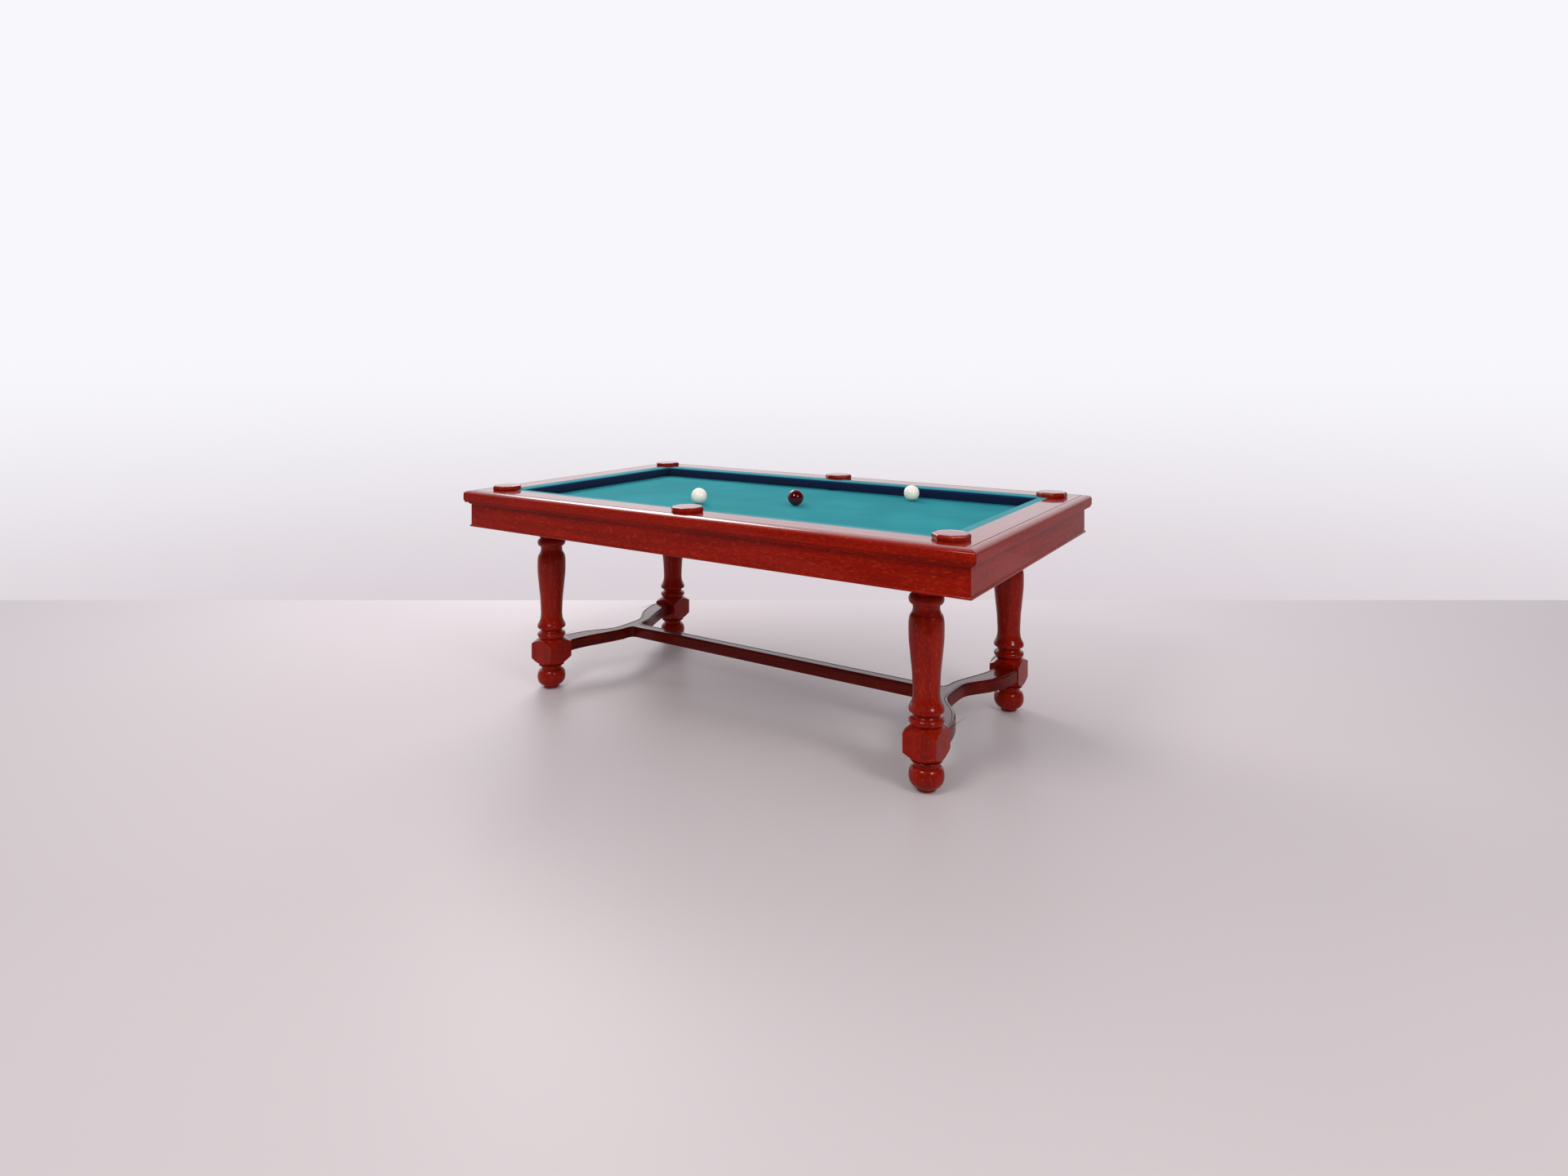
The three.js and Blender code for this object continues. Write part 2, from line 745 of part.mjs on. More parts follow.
function yokePlan() {
  const halfNeck = yoke.neckWidth / 2;
  const start = halfNeck + yoke.filletReach;
  const innerHalf = Array.from({ length: yokeSteps / 2 }, (_, i) =>
    yokeInnerEdge(yokeReach + ((start - yokeReach) * i) / (yokeSteps / 2 - 1)),
  );
  const joint = -yoke.neckReach;
  const last = innerHalf[innerHalf.length - 1];
  const corner = new THREE.Vector2(halfNeck, last.y);
  const fillet = new THREE.QuadraticBezierCurve(last, corner, new THREE.Vector2(halfNeck, joint));
  const innerRight = [...innerHalf.slice(0, -1), ...fillet.getPoints(beadSteps)];
  const innerLeft = innerRight.map((p) => new THREE.Vector2(-p.x, p.y)).reverse();
  return new THREE.Shape([...yokeOuterEdge(), ...innerRight, ...innerLeft]);
}

function makeStretchers() {
  const { thickness, edgeRound, width, tenonLength } = stretcher;
  const board = new THREE.ExtrudeGeometry(yokePlan(), {
    depth: thickness - 2 * edgeRound,
    bevelThickness: edgeRound,
    bevelSize: edgeRound,
    bevelOffset: -edgeRound,
    bevelSegments: 2,
  }).translate(0, 0, stretcherBottom + edgeRound);
  const armX = yokeCurve(yokeReach);
  const tenon = block(...tenonBox(yokeReach - tenonLength, yokeReach + tenonLength, 0));
  const tenons = [0, Math.PI].map((turn) => solidOf(tenon.clone().rotateZ(turn).translate(armX, 0, 0)));
  const joint = -yoke.neckReach;
  const slotHalf = stretcher.tenonWidth / 2 + fit;
  const slotTall = stretcher.tenonHeight / 2 + fit;
  const slot = block(
    [joint - overrun, -slotHalf, stretcherMiddle - slotTall],
    [joint + tenonLength + fit, slotHalf, stretcherMiddle + slotTall],
  );
  const yokeSolid = solidOf(board.rotateZ(-Math.PI / 2))
    .add(tenons[0])
    .add(tenons[1])
    .subtract(solidOf(slot));
  const middle = legX - yoke.sweep;
  add('yoke_stretcher_right', geometryOf(yokeSolid), finish.turnedWood(), middle);
  add('yoke_stretcher_left', geometryOf(yokeSolid), finish.turnedWood(), -middle, 0, 0, Math.PI);

  const half = width / 2;
  const low = stretcherBottom;
  const high = low + thickness;
  const section = [
    [-half, low + edgeRound],
    [-half + edgeRound, low],
    [half - edgeRound, low],
    [half, low + edgeRound],
    [half, high - edgeRound],
    [half - edgeRound, high],
    [-half + edgeRound, high],
    [-half, high - edgeRound],
  ];
  const reach = middle - yoke.neckReach - fit;
  const tongue = block(
    [-reach - tenonLength, -stretcher.tenonWidth / 2, stretcherMiddle - stretcher.tenonHeight / 2],
    [reach + tenonLength, stretcher.tenonWidth / 2, stretcherMiddle + stretcher.tenonHeight / 2],
  );
  const long = solidOf(moulding(section, 2 * reach)).add(solidOf(tongue));
  add('long_stretcher', geometryOf(long), finish.turnedWood());
}

// Balls, resting on the cloth
function makeBalls() {
  for (const [name, [u, v]] of Object.entries(ballPlaceShares)) {
    const radius = ball.diameter / 2;
    const sphere = new THREE.SphereGeometry(radius, ballSides, ballRings).rotateX(Math.PI / 2);
    const material = name === 'ball_red' ? finish.redBall() : finish.whiteBall();
    const height = bedHeight + radius + fit;
    add(name, geometryOf(solidOf(sphere)), material, (u * playLength) / 2, (v * playWidth) / 2, height);
  }
}

makeLegs();
makeLegBolts();
makeStretchers();
makeSubframe();
makeAprons();
makeBed();
makeRails();
makeCushions();
makePlugs();
makeCups();
makeBalls();

export default table;
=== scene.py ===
"""A carom billiard table in polished mahogany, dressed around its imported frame.

Lengths are metres. +X runs along the table, +Z up, and the front of the table faces -Y.
"""

from __future__ import annotations

import logging
import math
from collections.abc import Callable, Iterable, Sequence
from dataclasses import dataclass
from enum import Enum
from itertools import pairwise

import bmesh
import bpy
from mathutils import Matrix, Vector


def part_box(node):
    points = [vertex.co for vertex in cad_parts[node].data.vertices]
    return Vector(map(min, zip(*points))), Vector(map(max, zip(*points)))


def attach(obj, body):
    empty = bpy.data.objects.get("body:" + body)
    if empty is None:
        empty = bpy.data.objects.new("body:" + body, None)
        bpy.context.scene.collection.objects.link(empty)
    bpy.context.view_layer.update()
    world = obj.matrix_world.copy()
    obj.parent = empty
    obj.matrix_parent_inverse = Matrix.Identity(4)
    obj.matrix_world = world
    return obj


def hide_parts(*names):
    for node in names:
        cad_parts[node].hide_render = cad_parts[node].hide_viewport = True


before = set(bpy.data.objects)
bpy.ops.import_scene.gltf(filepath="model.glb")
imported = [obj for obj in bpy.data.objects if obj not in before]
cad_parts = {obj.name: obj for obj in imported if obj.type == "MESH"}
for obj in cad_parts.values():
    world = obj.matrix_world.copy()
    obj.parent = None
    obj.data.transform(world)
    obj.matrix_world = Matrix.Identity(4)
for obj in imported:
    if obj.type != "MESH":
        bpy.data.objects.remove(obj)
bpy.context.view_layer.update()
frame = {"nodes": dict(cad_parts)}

LOG = logging.getLogger("billiard_table")
MM = 0.001
TINY = 0.05 * MM
ROOT = "table"
SLATES = ("slate_left", "slate_middle", "slate_right")

Node = bpy.types.ShaderNode
Socket = bpy.types.NodeSocket
Piece = bpy.types.Object
Outline = list[tuple[float, float]]


def linear(hex_colour: str) -> tuple[float, float, float, float]:
    """Turns an sRGB hex colour into the linear colour that shaders take.

    Args:
        hex_colour: six hex digits after a hash.

    Returns:
        Red, green, blue and an alpha of 1.
    """
    digits = hex_colour.lstrip("#")
    parts = [int(digits[i : i + 2], 16) / 255 for i in (0, 2, 4)]
    red, green, blue = (c / 12.92 if c <= 0.04045 else ((c + 0.055) / 1.055) ** 2.4 for c in parts)
    return red, green, blue, 1.0


class Grain(Enum):
    """The way the grain runs in a piece of wood, as the axis that it follows."""

    ALONG_X = (0, 1, 2)
    ALONG_Y = (1, 2, 0)
    ALONG_Z = (2, 0, 1)

    def stretch(self, length: float, width: float) -> tuple[float, float, float]:
        """Gives the pattern's repeats per metre on each axis.

        Args:
            length: size of one mark along the grain.
            width: size of one mark across the grain.

        Returns:
            Scale along X, Y and Z.
        """
        scale = [1 / width] * 3
        scale[self.value[0]] = 1 / length
        return tuple(scale)


class Tree:
    """A node tree while it is being put together."""

    def __init__(self, owner: bpy.types.Material | bpy.types.World) -> None:
        """Opens the owner's tree and empties it."""
        owner.use_nodes = True
        self.tree = owner.node_tree
        self.tree.nodes.clear()

    def add(self, kind: str, inputs: dict[str | int, object] | None = None, **settings: object) -> Node:
        """Adds one node with its settings and links.

        Args:
            kind: the node's type name.
            inputs: value or output socket for each input, by name or place.
            settings: the node's own properties.

        Returns:
            The new node.
        """
        node = self.tree.nodes.new(kind)
        for key, value in settings.items():
            setattr(node, key, value)
        for key, value in (inputs or {}).items():
            if isinstance(value, bpy.types.NodeSocket):
                self.tree.links.new(value, node.inputs[key])
            else:
                node.inputs[key].default_value = value
        return node

    def ramp(self, value: Socket, low: float, high: float) -> Socket:
        """Stretches a value so that low becomes 0 and high becomes 1."""
        steps = {"Value": value, "From Min": low, "From Max": high}
        return self.add("ShaderNodeMapRange", steps, interpolation_type="SMOOTHSTEP").outputs[0]

    def mix(self, factor: Socket, low: Socket | str, high: Socket | str) -> Socket:
        """Mixes two colours, each a socket or a hex colour.

        Returns:
            The mixed colour's socket.
        """
        sides = {6: low, 7: high}
        inputs = {key: linear(c) if isinstance(c, str) else c for key, c in sides.items()}
        return self.add("ShaderNodeMix", {0: factor, **inputs}, data_type="RGBA").outputs[2]

    def reach(self, vector: Socket, axis: Sequence[float]) -> Socket:
        """Measures how far a vector reaches along an axis."""
        product = self.add("ShaderNodeVectorMath", {0: vector, 1: axis}, operation="DOT_PRODUCT")
        return product.outputs["Value"]


class Recipe(Tree):
    """A material while it is being put together, with one Principled shader."""

    def __init__(self, name: str) -> None:
        """Starts the material."""
        self.material = bpy.data.materials.new(name)
        super().__init__(self.material)
        self.shader = self.add("ShaderNodeBsdfPrincipled")
        self.add("ShaderNodeOutputMaterial", {"Surface": self.shader.outputs["BSDF"]})
        self.place = self.add("ShaderNodeTexCoord").outputs["Object"]

    def pattern(self, scale: Sequence[float], detail: float = 3.0) -> Socket:
        """Adds a soft noise.

        Args:
            scale: repeats per metre along each axis.
            detail: levels of finer noise in it.

        Returns:
            The noise's value socket.
        """
        spread = self.add("ShaderNodeMapping", {"Vector": self.place, "Scale": scale})
        noise = self.add("ShaderNodeTexNoise", {"Vector": spread.outputs[0], "Scale": 1.0, "Detail": detail})
        return noise.outputs["Fac"]

    def bump(self, height: Socket, depth: float, under: Socket | None = None) -> Socket:
        """Adds a bump of a real depth in metres over another one.

        Returns:
            The normal's socket.
        """
        inputs = {"Height": height, "Distance": depth, "Strength": 1.0}
        if under:
            inputs["Normal"] = under
        return self.add("ShaderNodeBump", inputs).outputs[0]

    def finish(self, **sockets: object) -> bpy.types.Material:
        """Sets the shader's inputs, with underscores for the spaces in their names.

        Returns:
            The finished material.
        """
        for key, value in sockets.items():
            target = self.shader.inputs[key.replace("_", " ")]
            if isinstance(value, bpy.types.NodeSocket):
                self.tree.links.new(value, target)
            else:
                target.default_value = value
        return self.material


@dataclass(frozen=True)
class PolishedMahogany:
    """Mahogany under a polished clear varnish: ribboned red-brown wood seen through a wet gloss."""

    name: str
    grain: Grain
    pale: str = "#8f1203"
    deep: str = "#7a0d03"
    pore: str = "#300100"
    figure: str = "#a8350a"
    ribbon_length: float = 420 * MM
    ribbon_width: float = 26 * MM
    streak_length: float = 160 * MM
    streak_width: float = 3.2 * MM
    figure_length: float = 16 * MM
    figure_width: float = 5 * MM
    pore_length: float = 9 * MM
    pore_width: float = 0.7 * MM

    def build(self) -> bpy.types.Material:
        """Returns the material."""
        recipe = Recipe(self.name)
        ribbon = recipe.pattern(self.grain.stretch(self.ribbon_length, self.ribbon_width), 2.0)
        streak = recipe.pattern(self.grain.stretch(self.streak_length, self.streak_width), 5.0)
        pores = recipe.pattern(self.grain.stretch(self.pore_length, self.pore_width), 1.0)
        tone = recipe.mix(recipe.ramp(ribbon, 0.3, 0.7), self.deep, self.pale)
        dark_streak = recipe.ramp(streak, 0.58, 0.9)
        tone = recipe.mix(dark_streak, tone, self.deep)
        mottle = recipe.pattern(self.grain.stretch(self.figure_length, self.figure_width), 3.0)
        tone = recipe.mix(recipe.ramp(mottle, 0.5, 0.85), tone, self.figure)
        open_pore = recipe.ramp(pores, 0.6, 0.72)
        tone = recipe.mix(open_pore, tone, self.pore)
        gloss = recipe.add("ShaderNodeMapRange", {"Value": streak, "To Min": 0.24, "To Max": 0.36})
        # Varnish sinks a little into the grain, which breaks up the edges of reflections.
        normal = recipe.bump(streak, 0.05 * MM)
        # The varnish lies thinner on upright faces than on level ones.
        facing = recipe.add("ShaderNodeTexCoord").outputs["Normal"]
        level = recipe.ramp(recipe.reach(facing, (0, 0, 1)), 0.25, 0.85)
        coat = recipe.add("ShaderNodeMapRange", {"Value": level, "To Min": 0.2, "To Max": 0.95})
        return recipe.finish(
            Base_Color=tone,
            Roughness=gloss.outputs[0],
            Specular_IOR_Level=0.08,
            Normal=normal,
            Coat_Weight=coat.outputs[0],
            Coat_Roughness=0.06,
            Coat_IOR=1.45,
        )


@dataclass(frozen=True)
class PlanedHardwood:
    """Beech of the hidden frame, planed and left bare."""

    name: str
    grain: Grain
    pale: str = "#a87a4c"
    deep: str = "#7d5430"

    def build(self) -> bpy.types.Material:
        """Returns the material."""
        recipe = Recipe(self.name)
        streak = recipe.pattern(self.grain.stretch(240 * MM, 5 * MM), 4.0)
        fleck = recipe.pattern(self.grain.stretch(4 * MM, 0.9 * MM), 1.0)
        tone = recipe.mix(recipe.ramp(streak, 0.35, 0.7), self.pale, self.deep)
        tone = recipe.mix(recipe.ramp(fleck, 0.62, 0.75), tone, self.deep)
        normal = recipe.bump(streak, 0.15 * MM)
        return recipe.finish(Base_Color=tone, Roughness=0.62, Normal=normal)


@dataclass(frozen=True)
class BilliardCloth:
    """Shorn worsted wool, dyed blue-green, stretched flat."""

    name: str = "worsted_billiard_cloth"
    colour: str = "#17858e"
    worn: str = "#209099"
    # Height under which the cloth is painted dark, a painted shade under a cushion's nose, if it is.
    nose_shade_below: float | None = None
    # Colour of the painted shade under the nose.
    facing: str = "#06204a"
    # Real threads lie 0.4 mm apart, too fine to show, so they are drawn as coarse as 1.4 mm.
    thread: float = 1.4 * MM
    nap: float = 6 * MM
    wear: float = 260 * MM
    sheen: float = 0.15
    sheen_tint: str = "#4fb0b4"

    def build(self) -> bpy.types.Material:
        """Returns the material."""
        recipe = Recipe(self.name)
        worn = recipe.pattern([1 / self.wear] * 3, 3.0)
        nap = recipe.pattern([1 / self.nap] * 3, 3.0)
        threads = recipe.pattern([1 / self.thread] * 3, 1.0)
        tone = recipe.mix(recipe.ramp(worn, 0.35, 0.7), self.colour, self.worn)
        shade = recipe.add("ShaderNodeMapRange", {"Value": nap, "To Min": 0.0, "To Max": 0.16})
        tone = recipe.mix(shade.outputs[0], tone, "#125f66")
        # Below the nose the cloth turns dark navy: painted shade on the undercut face of the cushion.
        if self.nose_shade_below is not None:
            height = recipe.reach(recipe.place, (0, 0, 1))
            upper = recipe.ramp(height, self.nose_shade_below - 4 * MM, self.nose_shade_below)
            tone = recipe.mix(upper, self.facing, tone)
        normal = recipe.bump(threads, 0.12 * MM)
        normal = recipe.bump(nap, 0.1 * MM, normal)
        return recipe.finish(
            Base_Color=tone,
            Roughness=0.92,
            Normal=normal,
            Specular_IOR_Level=0.2,
            Sheen_Weight=self.sheen,
            Sheen_Roughness=0.4,
            Sheen_Tint=linear(self.sheen_tint),
        )


@dataclass(frozen=True)
class CastResin:
    """Phenolic resin of the balls, cast, ground and polished to a mirror."""

    name: str
    colour: str
    cloud: str

    def build(self) -> bpy.types.Material:
        """Returns the material."""
        recipe = Recipe(self.name)
        cloud = recipe.pattern([1 / (14 * MM)] * 3, 2.0)
        tone = recipe.mix(recipe.ramp(cloud, 0.35, 0.75), self.colour, self.cloud)
        wipe = recipe.pattern([1 / (5 * MM)] * 3, 2.0)
        gloss = recipe.add("ShaderNodeMapRange", {"Value": wipe, "To Min": 0.05, "To Max": 0.11})
        return recipe.finish(Base_Color=tone, Roughness=gloss.outputs[0], IOR=1.55)


@dataclass(frozen=True)
class SplitSlate:
    """Slate, honed on top and split underneath: grey with faint layers."""

    name: str = "honed_slate"

    def build(self) -> bpy.types.Material:
        """Returns the material."""
        recipe = Recipe(self.name)
        layer = recipe.pattern([1 / (180 * MM), 1 / (120 * MM), 1 / (2 * MM)], 5.0)
        grit = recipe.pattern([1 / (1.5 * MM)] * 3, 2.0)
        tone = recipe.mix(recipe.ramp(layer, 0.3, 0.7), "#4b5157", "#3a3f45")
        tone = recipe.mix(recipe.ramp(grit, 0.55, 0.8), tone, "#5c6268")
        normal = recipe.bump(layer, 0.6 * MM)
        return recipe.finish(Base_Color=tone, Roughness=0.75, Normal=normal)


@dataclass(frozen=True)
class SaddleLeather:
    """Dark vegetable-tanned leather, pressed to shape, with a fine pebble grain."""

    name: str = "pressed_saddle_leather"

    def build(self) -> bpy.types.Material:
        """Returns the material."""
        recipe = Recipe(self.name)
        pebble = recipe.add("ShaderNodeTexVoronoi", {"Vector": recipe.place, "Scale": 1 / (2.2 * MM)})
        patch = recipe.pattern([1 / (30 * MM)] * 3, 3.0)
        tone = recipe.mix(recipe.ramp(patch, 0.35, 0.7), "#2a1810", "#3b2417")
        normal = recipe.bump(pebble.outputs["Distance"], 0.25 * MM)
        return recipe.finish(Base_Color=tone, Roughness=0.5, Normal=normal)


@dataclass(frozen=True)
class TurnedSteel:
    """Bright steel of the bolts, turned and lightly oiled."""

    name: str = "turned_bright_steel"

    def build(self) -> bpy.types.Material:
        """Returns the material."""
        recipe = Recipe(self.name)
        ring = recipe.pattern([1 / (8 * MM), 1 / (8 * MM), 1 / (0.8 * MM)], 2.0)
        gloss = recipe.add("ShaderNodeMapRange", {"Value": ring, "To Min": 0.25, "To Max": 0.45})
        tone = recipe.mix(recipe.ramp(ring, 0.4, 0.7), "#9b9da1", "#84868a")
        return recipe.finish(Base_Color=tone, Metallic=1.0, Roughness=gloss.outputs[0])


@dataclass(frozen=True)
class PressedFelt:
    """Grey wool felt of the foot pads."""

    name: str = "pressed_wool_felt"

    def build(self) -> bpy.types.Material:
        """Returns the material."""
        recipe = Recipe(self.name)
        fibre = recipe.pattern([1 / (1.1 * MM)] * 3, 4.0)
        tone = recipe.mix(recipe.ramp(fibre, 0.4, 0.65), "#4a4440", "#2f2b28")
        normal = recipe.bump(fibre, 0.4 * MM)
        return recipe.finish(Base_Color=tone, Roughness=0.95, Normal=normal, Sheen_Weight=0.3)


@dataclass
class Finishes:
    """Every material of the table, made once."""

    wood: dict[Grain, bpy.types.Material]
    # Darker copy of the mahogany: painted shade for the stretchers under the table.
    stretcher_wood: dict[Grain, bpy.types.Material]
    bare_wood: dict[Grain, bpy.types.Material]
    cloth: bpy.types.Material
    cushion_cloth: bpy.types.Material
    white_resin: bpy.types.Material
    red_resin: bpy.types.Material
    slate: bpy.types.Material
    leather: bpy.types.Material
    steel: bpy.types.Material
    felt: bpy.types.Material

    @classmethod
    def make(cls) -> Finishes:
        """Builds them all."""
        suffix = {Grain.ALONG_X: "lengthwise", Grain.ALONG_Y: "crosswise", Grain.ALONG_Z: "upright"}
        return cls(
            wood={g: PolishedMahogany(f"polished_mahogany_{s}", g).build() for g, s in suffix.items()},
            # The stretchers take a darker copy of the same mahogany, painted shade for their place under the
            # table.
            stretcher_wood={
                g: PolishedMahogany(
                    f"shaded_polished_mahogany_{s}", g, pale="#650a02", deep="#4a0401", figure="#75200a"
                ).build()
                for g, s in suffix.items()
            },
            bare_wood={g: PlanedHardwood(f"planed_beech_{s}", g).build() for g, s in suffix.items()},
            cloth=BilliardCloth().build(),
            # The cushion cloth carries the painted shade under the nose, below 797 mm.
            cushion_cloth=BilliardCloth(
                "worsted_cushion_cloth", nose_shade_below=797 * MM, sheen=0.3, sheen_tint="#c4d0d2"
            ).build(),
            white_resin=CastResin("cast_resin_ivory", "#fff4e5", "#fbecd9").build(),
            red_resin=CastResin("cast_resin_red", "#4c0207", "#3d0105").build(),
            slate=SplitSlate().build(),
            leather=SaddleLeather().build(),
            steel=TurnedSteel().build(),
            felt=PressedFelt().build(),
        )


class Bench:
    """One mesh on the bench, shaped with Blender's own edit tools."""

    def __init__(self, name: str) -> None:
        """Takes up the primitive that was just added and opens it for editing."""
        self.piece: Piece = bpy.context.active_object
        self.piece.name = name
        self.piece.data.name = name
        bpy.ops.object.mode_set(mode="EDIT")

    @classmethod
    def block(cls, name: str, low: Sequence[float], high: Sequence[float]) -> Bench:
        """Starts from a block between two corners.

        Args:
            name: the piece's name.
            low: lowest corner.
            high: highest corner.

        Returns:
            The block, open for editing.
        """
        clear_selection()
        low, high = Vector(low), Vector(high)
        bpy.ops.mesh.primitive_cube_add(size=1, location=(low + high) / 2, scale=high - low)
        bpy.ops.object.transform_apply(location=True, rotation=True, scale=True)
        return cls(name)

    @classmethod
    def board(cls, name: str, plan: Sequence[Vector], bottom: float, top: float) -> Bench:
        """Starts from a level board with a drawn outline.

        Args:
            name: the piece's name.
            plan: the outline's points, seen from above.
            bottom: height of its lower face.
            top: height of its upper face.

        Returns:
            The board, open for editing.
        """
        bench = cls.loft(name, [(plan, bottom), (plan, top)])
        bpy.ops.mesh.select_all(action="SELECT")
        bpy.ops.mesh.normals_make_consistent(inside=False)
        return bench

    @classmethod
    def loft(cls, name: str, rings: Sequence[tuple[Sequence[Vector], float]]) -> Bench:
        """Starts from a solid that runs through level outlines with equally many points.

        Args:
            name: the piece's name.
            rings: each outline and its height.

        Returns:
            The solid, open for editing, with its last face selected.
        """
        bench = cls.disc(name, (0, 0, rings[0][1]), 1, len(rings[0][0]))
        mesh = bmesh.from_edit_mesh(bench.piece.data)
        number = mesh.verts.layers.int.new("number")
        for vertex in mesh.verts:
            vertex[number] = vertex.index
        for i, (plan, height) in enumerate(rings):
            if i:
                bench.extrude((0, 0, 0))
            mesh = bmesh.from_edit_mesh(bench.piece.data)
            number = mesh.verts.layers.int["number"]
            for vertex in (v for v in mesh.verts if v.select):
                vertex.co = (*plan[vertex[number]], height)
            bmesh.update_edit_mesh(bench.piece.data)
        return bench

    @classmethod
    def disc(cls, name: str, centre: Sequence[float], radius: float, sides: int, turn: float = 0) -> Bench:
        """Starts from a flat disc that faces up.

        Args:
            name: the piece's name.
            centre: the disc's centre.
            radius: the disc's radius, to its corners.
            sides: how many sides it has.
            turn: turn about +Z.

        Returns:
            The disc, open for editing.
        """
        clear_selection()
        bpy.ops.mesh.primitive_circle_add(
            vertices=sides, radius=radius, fill_type="NGON", location=centre, rotation=(0, 0, turn)
        )
        bpy.ops.object.transform_apply(location=True, rotation=True, scale=True)
        return cls(name)

    def _select(self, items: str, test: Callable[..., bool]) -> None:
        """Selects faces or edges that pass a test, and nothing else."""
        mode = {"faces": "FACE", "edges": "EDGE"}[items]
        bpy.ops.mesh.select_mode(type=mode)
        bpy.ops.mesh.select_all(action="DESELECT")
        mesh = bmesh.from_edit_mesh(self.piece.data)
        for item in getattr(mesh, items):
            item.select_set(test(item))
        mesh.select_flush_mode()
        bmesh.update_edit_mesh(self.piece.data)

    def faces(self, test: Callable[[Vector, Vector], bool]) -> Bench:
        """Selects the faces whose centre and normal pass a test."""
        self._select("faces", lambda f: test(f.calc_center_median(), f.normal))
        return self

    def edges(self, test: Callable[[Vector, Vector], bool]) -> Bench:
        """Selects the edges whose two ends pass a test."""
        self._select("edges", lambda e: test(e.verts[0].co, e.verts[1].co))
        return self

    def rims(self) -> Bench:
        """Selects the edges of openings."""
        self._select("edges", lambda e: e.is_boundary)
        return self

    def bevel(self, width: float, segments: int, profile: float = 0.5) -> Bench:
        """Rounds the selected edges."""
        bpy.ops.mesh.bevel(offset=width, segments=segments, profile=profile, affect="EDGES")
        return self

    def inset(self, width: float, depth: float = 0.0) -> Bench:
        """Insets the selected faces by a width and moves them out by a depth."""
        bpy.ops.mesh.inset(thickness=width, depth=depth, use_even_offset=True)
        return self

    def extrude(self, offset: Sequence[float]) -> Bench:
        """Extrudes the selection."""
        bpy.ops.mesh.extrude_region_move(TRANSFORM_OT_translate={"value": Vector(offset)})
        return self

    def swell(self, distance: float) -> Bench:
        """Extrudes the selected faces outward along their normals."""
        bpy.ops.mesh.extrude_region_shrink_fatten(
            TRANSFORM_OT_shrink_fatten={"value": distance, "use_even_offset": True}
        )
        return self

    def move(self, offset: Sequence[float]) -> Bench:
        """Moves the selection."""
        bpy.ops.transform.translate(value=Vector(offset))
        return self

    def cut(self, point: Sequence[float], normal: Sequence[float], clear: bool = False) -> Bench:
        """Cuts the whole mesh with a plane.

        Args:
            point: a point on the plane.
            normal: the plane's normal.
            clear: whether the side that the normal points to is taken away and the cut closed.

        Returns:
            The same bench.
        """
        bpy.ops.mesh.select_all(action="SELECT")
        bpy.ops.mesh.bisect(plane_co=point, plane_no=normal, clear_outer=clear, use_fill=clear)
        return self

    def open_ring(self, heights: Iterable[float], inner: tuple[float, float]) -> Bench:
        """Opens a rectangular ring: removes level faces inside it and bridges the two rims.

        Args:
            heights: where the level faces lie.
            inner: half sizes of the opening.

        Returns:
            The same bench.
        """
        for height in heights:
            self.faces(lambda c, n: abs(c.z - height) < TINY and abs(n.z) > 0.9 and _within(c, inner))
            bpy.ops.mesh.delete(type="FACE")
        self.rims()
        bpy.ops.mesh.bridge_edge_loops()
        return self

    def close(self) -> Piece:
        """Leaves edit mode with the faces pointing outwards.

        Returns:
            The finished mesh object.
        """
        bpy.ops.mesh.select_all(action="SELECT")
        bpy.ops.mesh.remove_doubles(threshold=TINY / 10)
        bpy.ops.mesh.normals_make_consistent(inside=False)
        bpy.ops.object.mode_set(mode="OBJECT")
        return self.piece


def _within(point: Vector, half: tuple[float, float]) -> bool:
    """Tells whether a point lies inside a rectangle about the origin."""
    return abs(point.x) < half[0] and abs(point.y) < half[1]


def clear_selection() -> None:
    """Leaves edit mode if need be and deselects every object."""
    if bpy.context.mode != "OBJECT":
        bpy.ops.object.mode_set(mode="OBJECT")
    bpy.ops.object.select_all(action="DESELECT")


def pick(piece: Piece) -> None:
    """Makes one object the selected and active one."""
    clear_selection()
    piece.select_set(True)
    bpy.context.view_layer.objects.active = piece


def combine(piece: Piece, other: Piece, how: str) -> Piece:
    """Cuts, joins or intersects one solid with another, which is used up.

    Args:
        piece: the solid that is kept.
        other: the solid that it is worked with.
        how: DIFFERENCE, UNION or INTERSECT.

    Returns:
        The kept solid.
    """
    pick(piece)
    work = piece.modifiers.new("work", "BOOLEAN")
    work.operation = how
    work.solver = "EXACT"
    work.object = other
    bpy.ops.object.modifier_apply(modifier=work.name)
    bpy.data.objects.remove(other)
    return piece


def copy_of(piece: Piece, name: str, matrix: Matrix) -> Piece:
    """Copies a piece with a mesh of its own and moves the copy's mesh.

    Args:
        piece: the piece to copy.
        name: the copy's name.
        matrix: the move, applied to the mesh.

    Returns:
        The copy, its object at the origin.
    """
    twin = piece.copy()
    twin.data = piece.data.copy()
    twin.name = name
    twin.data.name = name
    bpy.context.scene.collection.objects.link(twin)
    twin.data.transform(matrix)
    if matrix.determinant() < 0:
        twin.data.flip_normals()
    return twin


def smooth(piece: Piece, degrees: float = 35) -> Piece:
    """Shades a piece smooth, keeping creases sharper than an angle and broad faces flat."""
    pick(piece)
    bpy.ops.object.shade_smooth_by_angle(angle=math.radians(degrees))
    even = piece.modifiers.new("even", "WEIGHTED_NORMAL")
    even.keep_sharp = True
    bpy.ops.object.modifier_apply(modifier=even.name)
    return piece


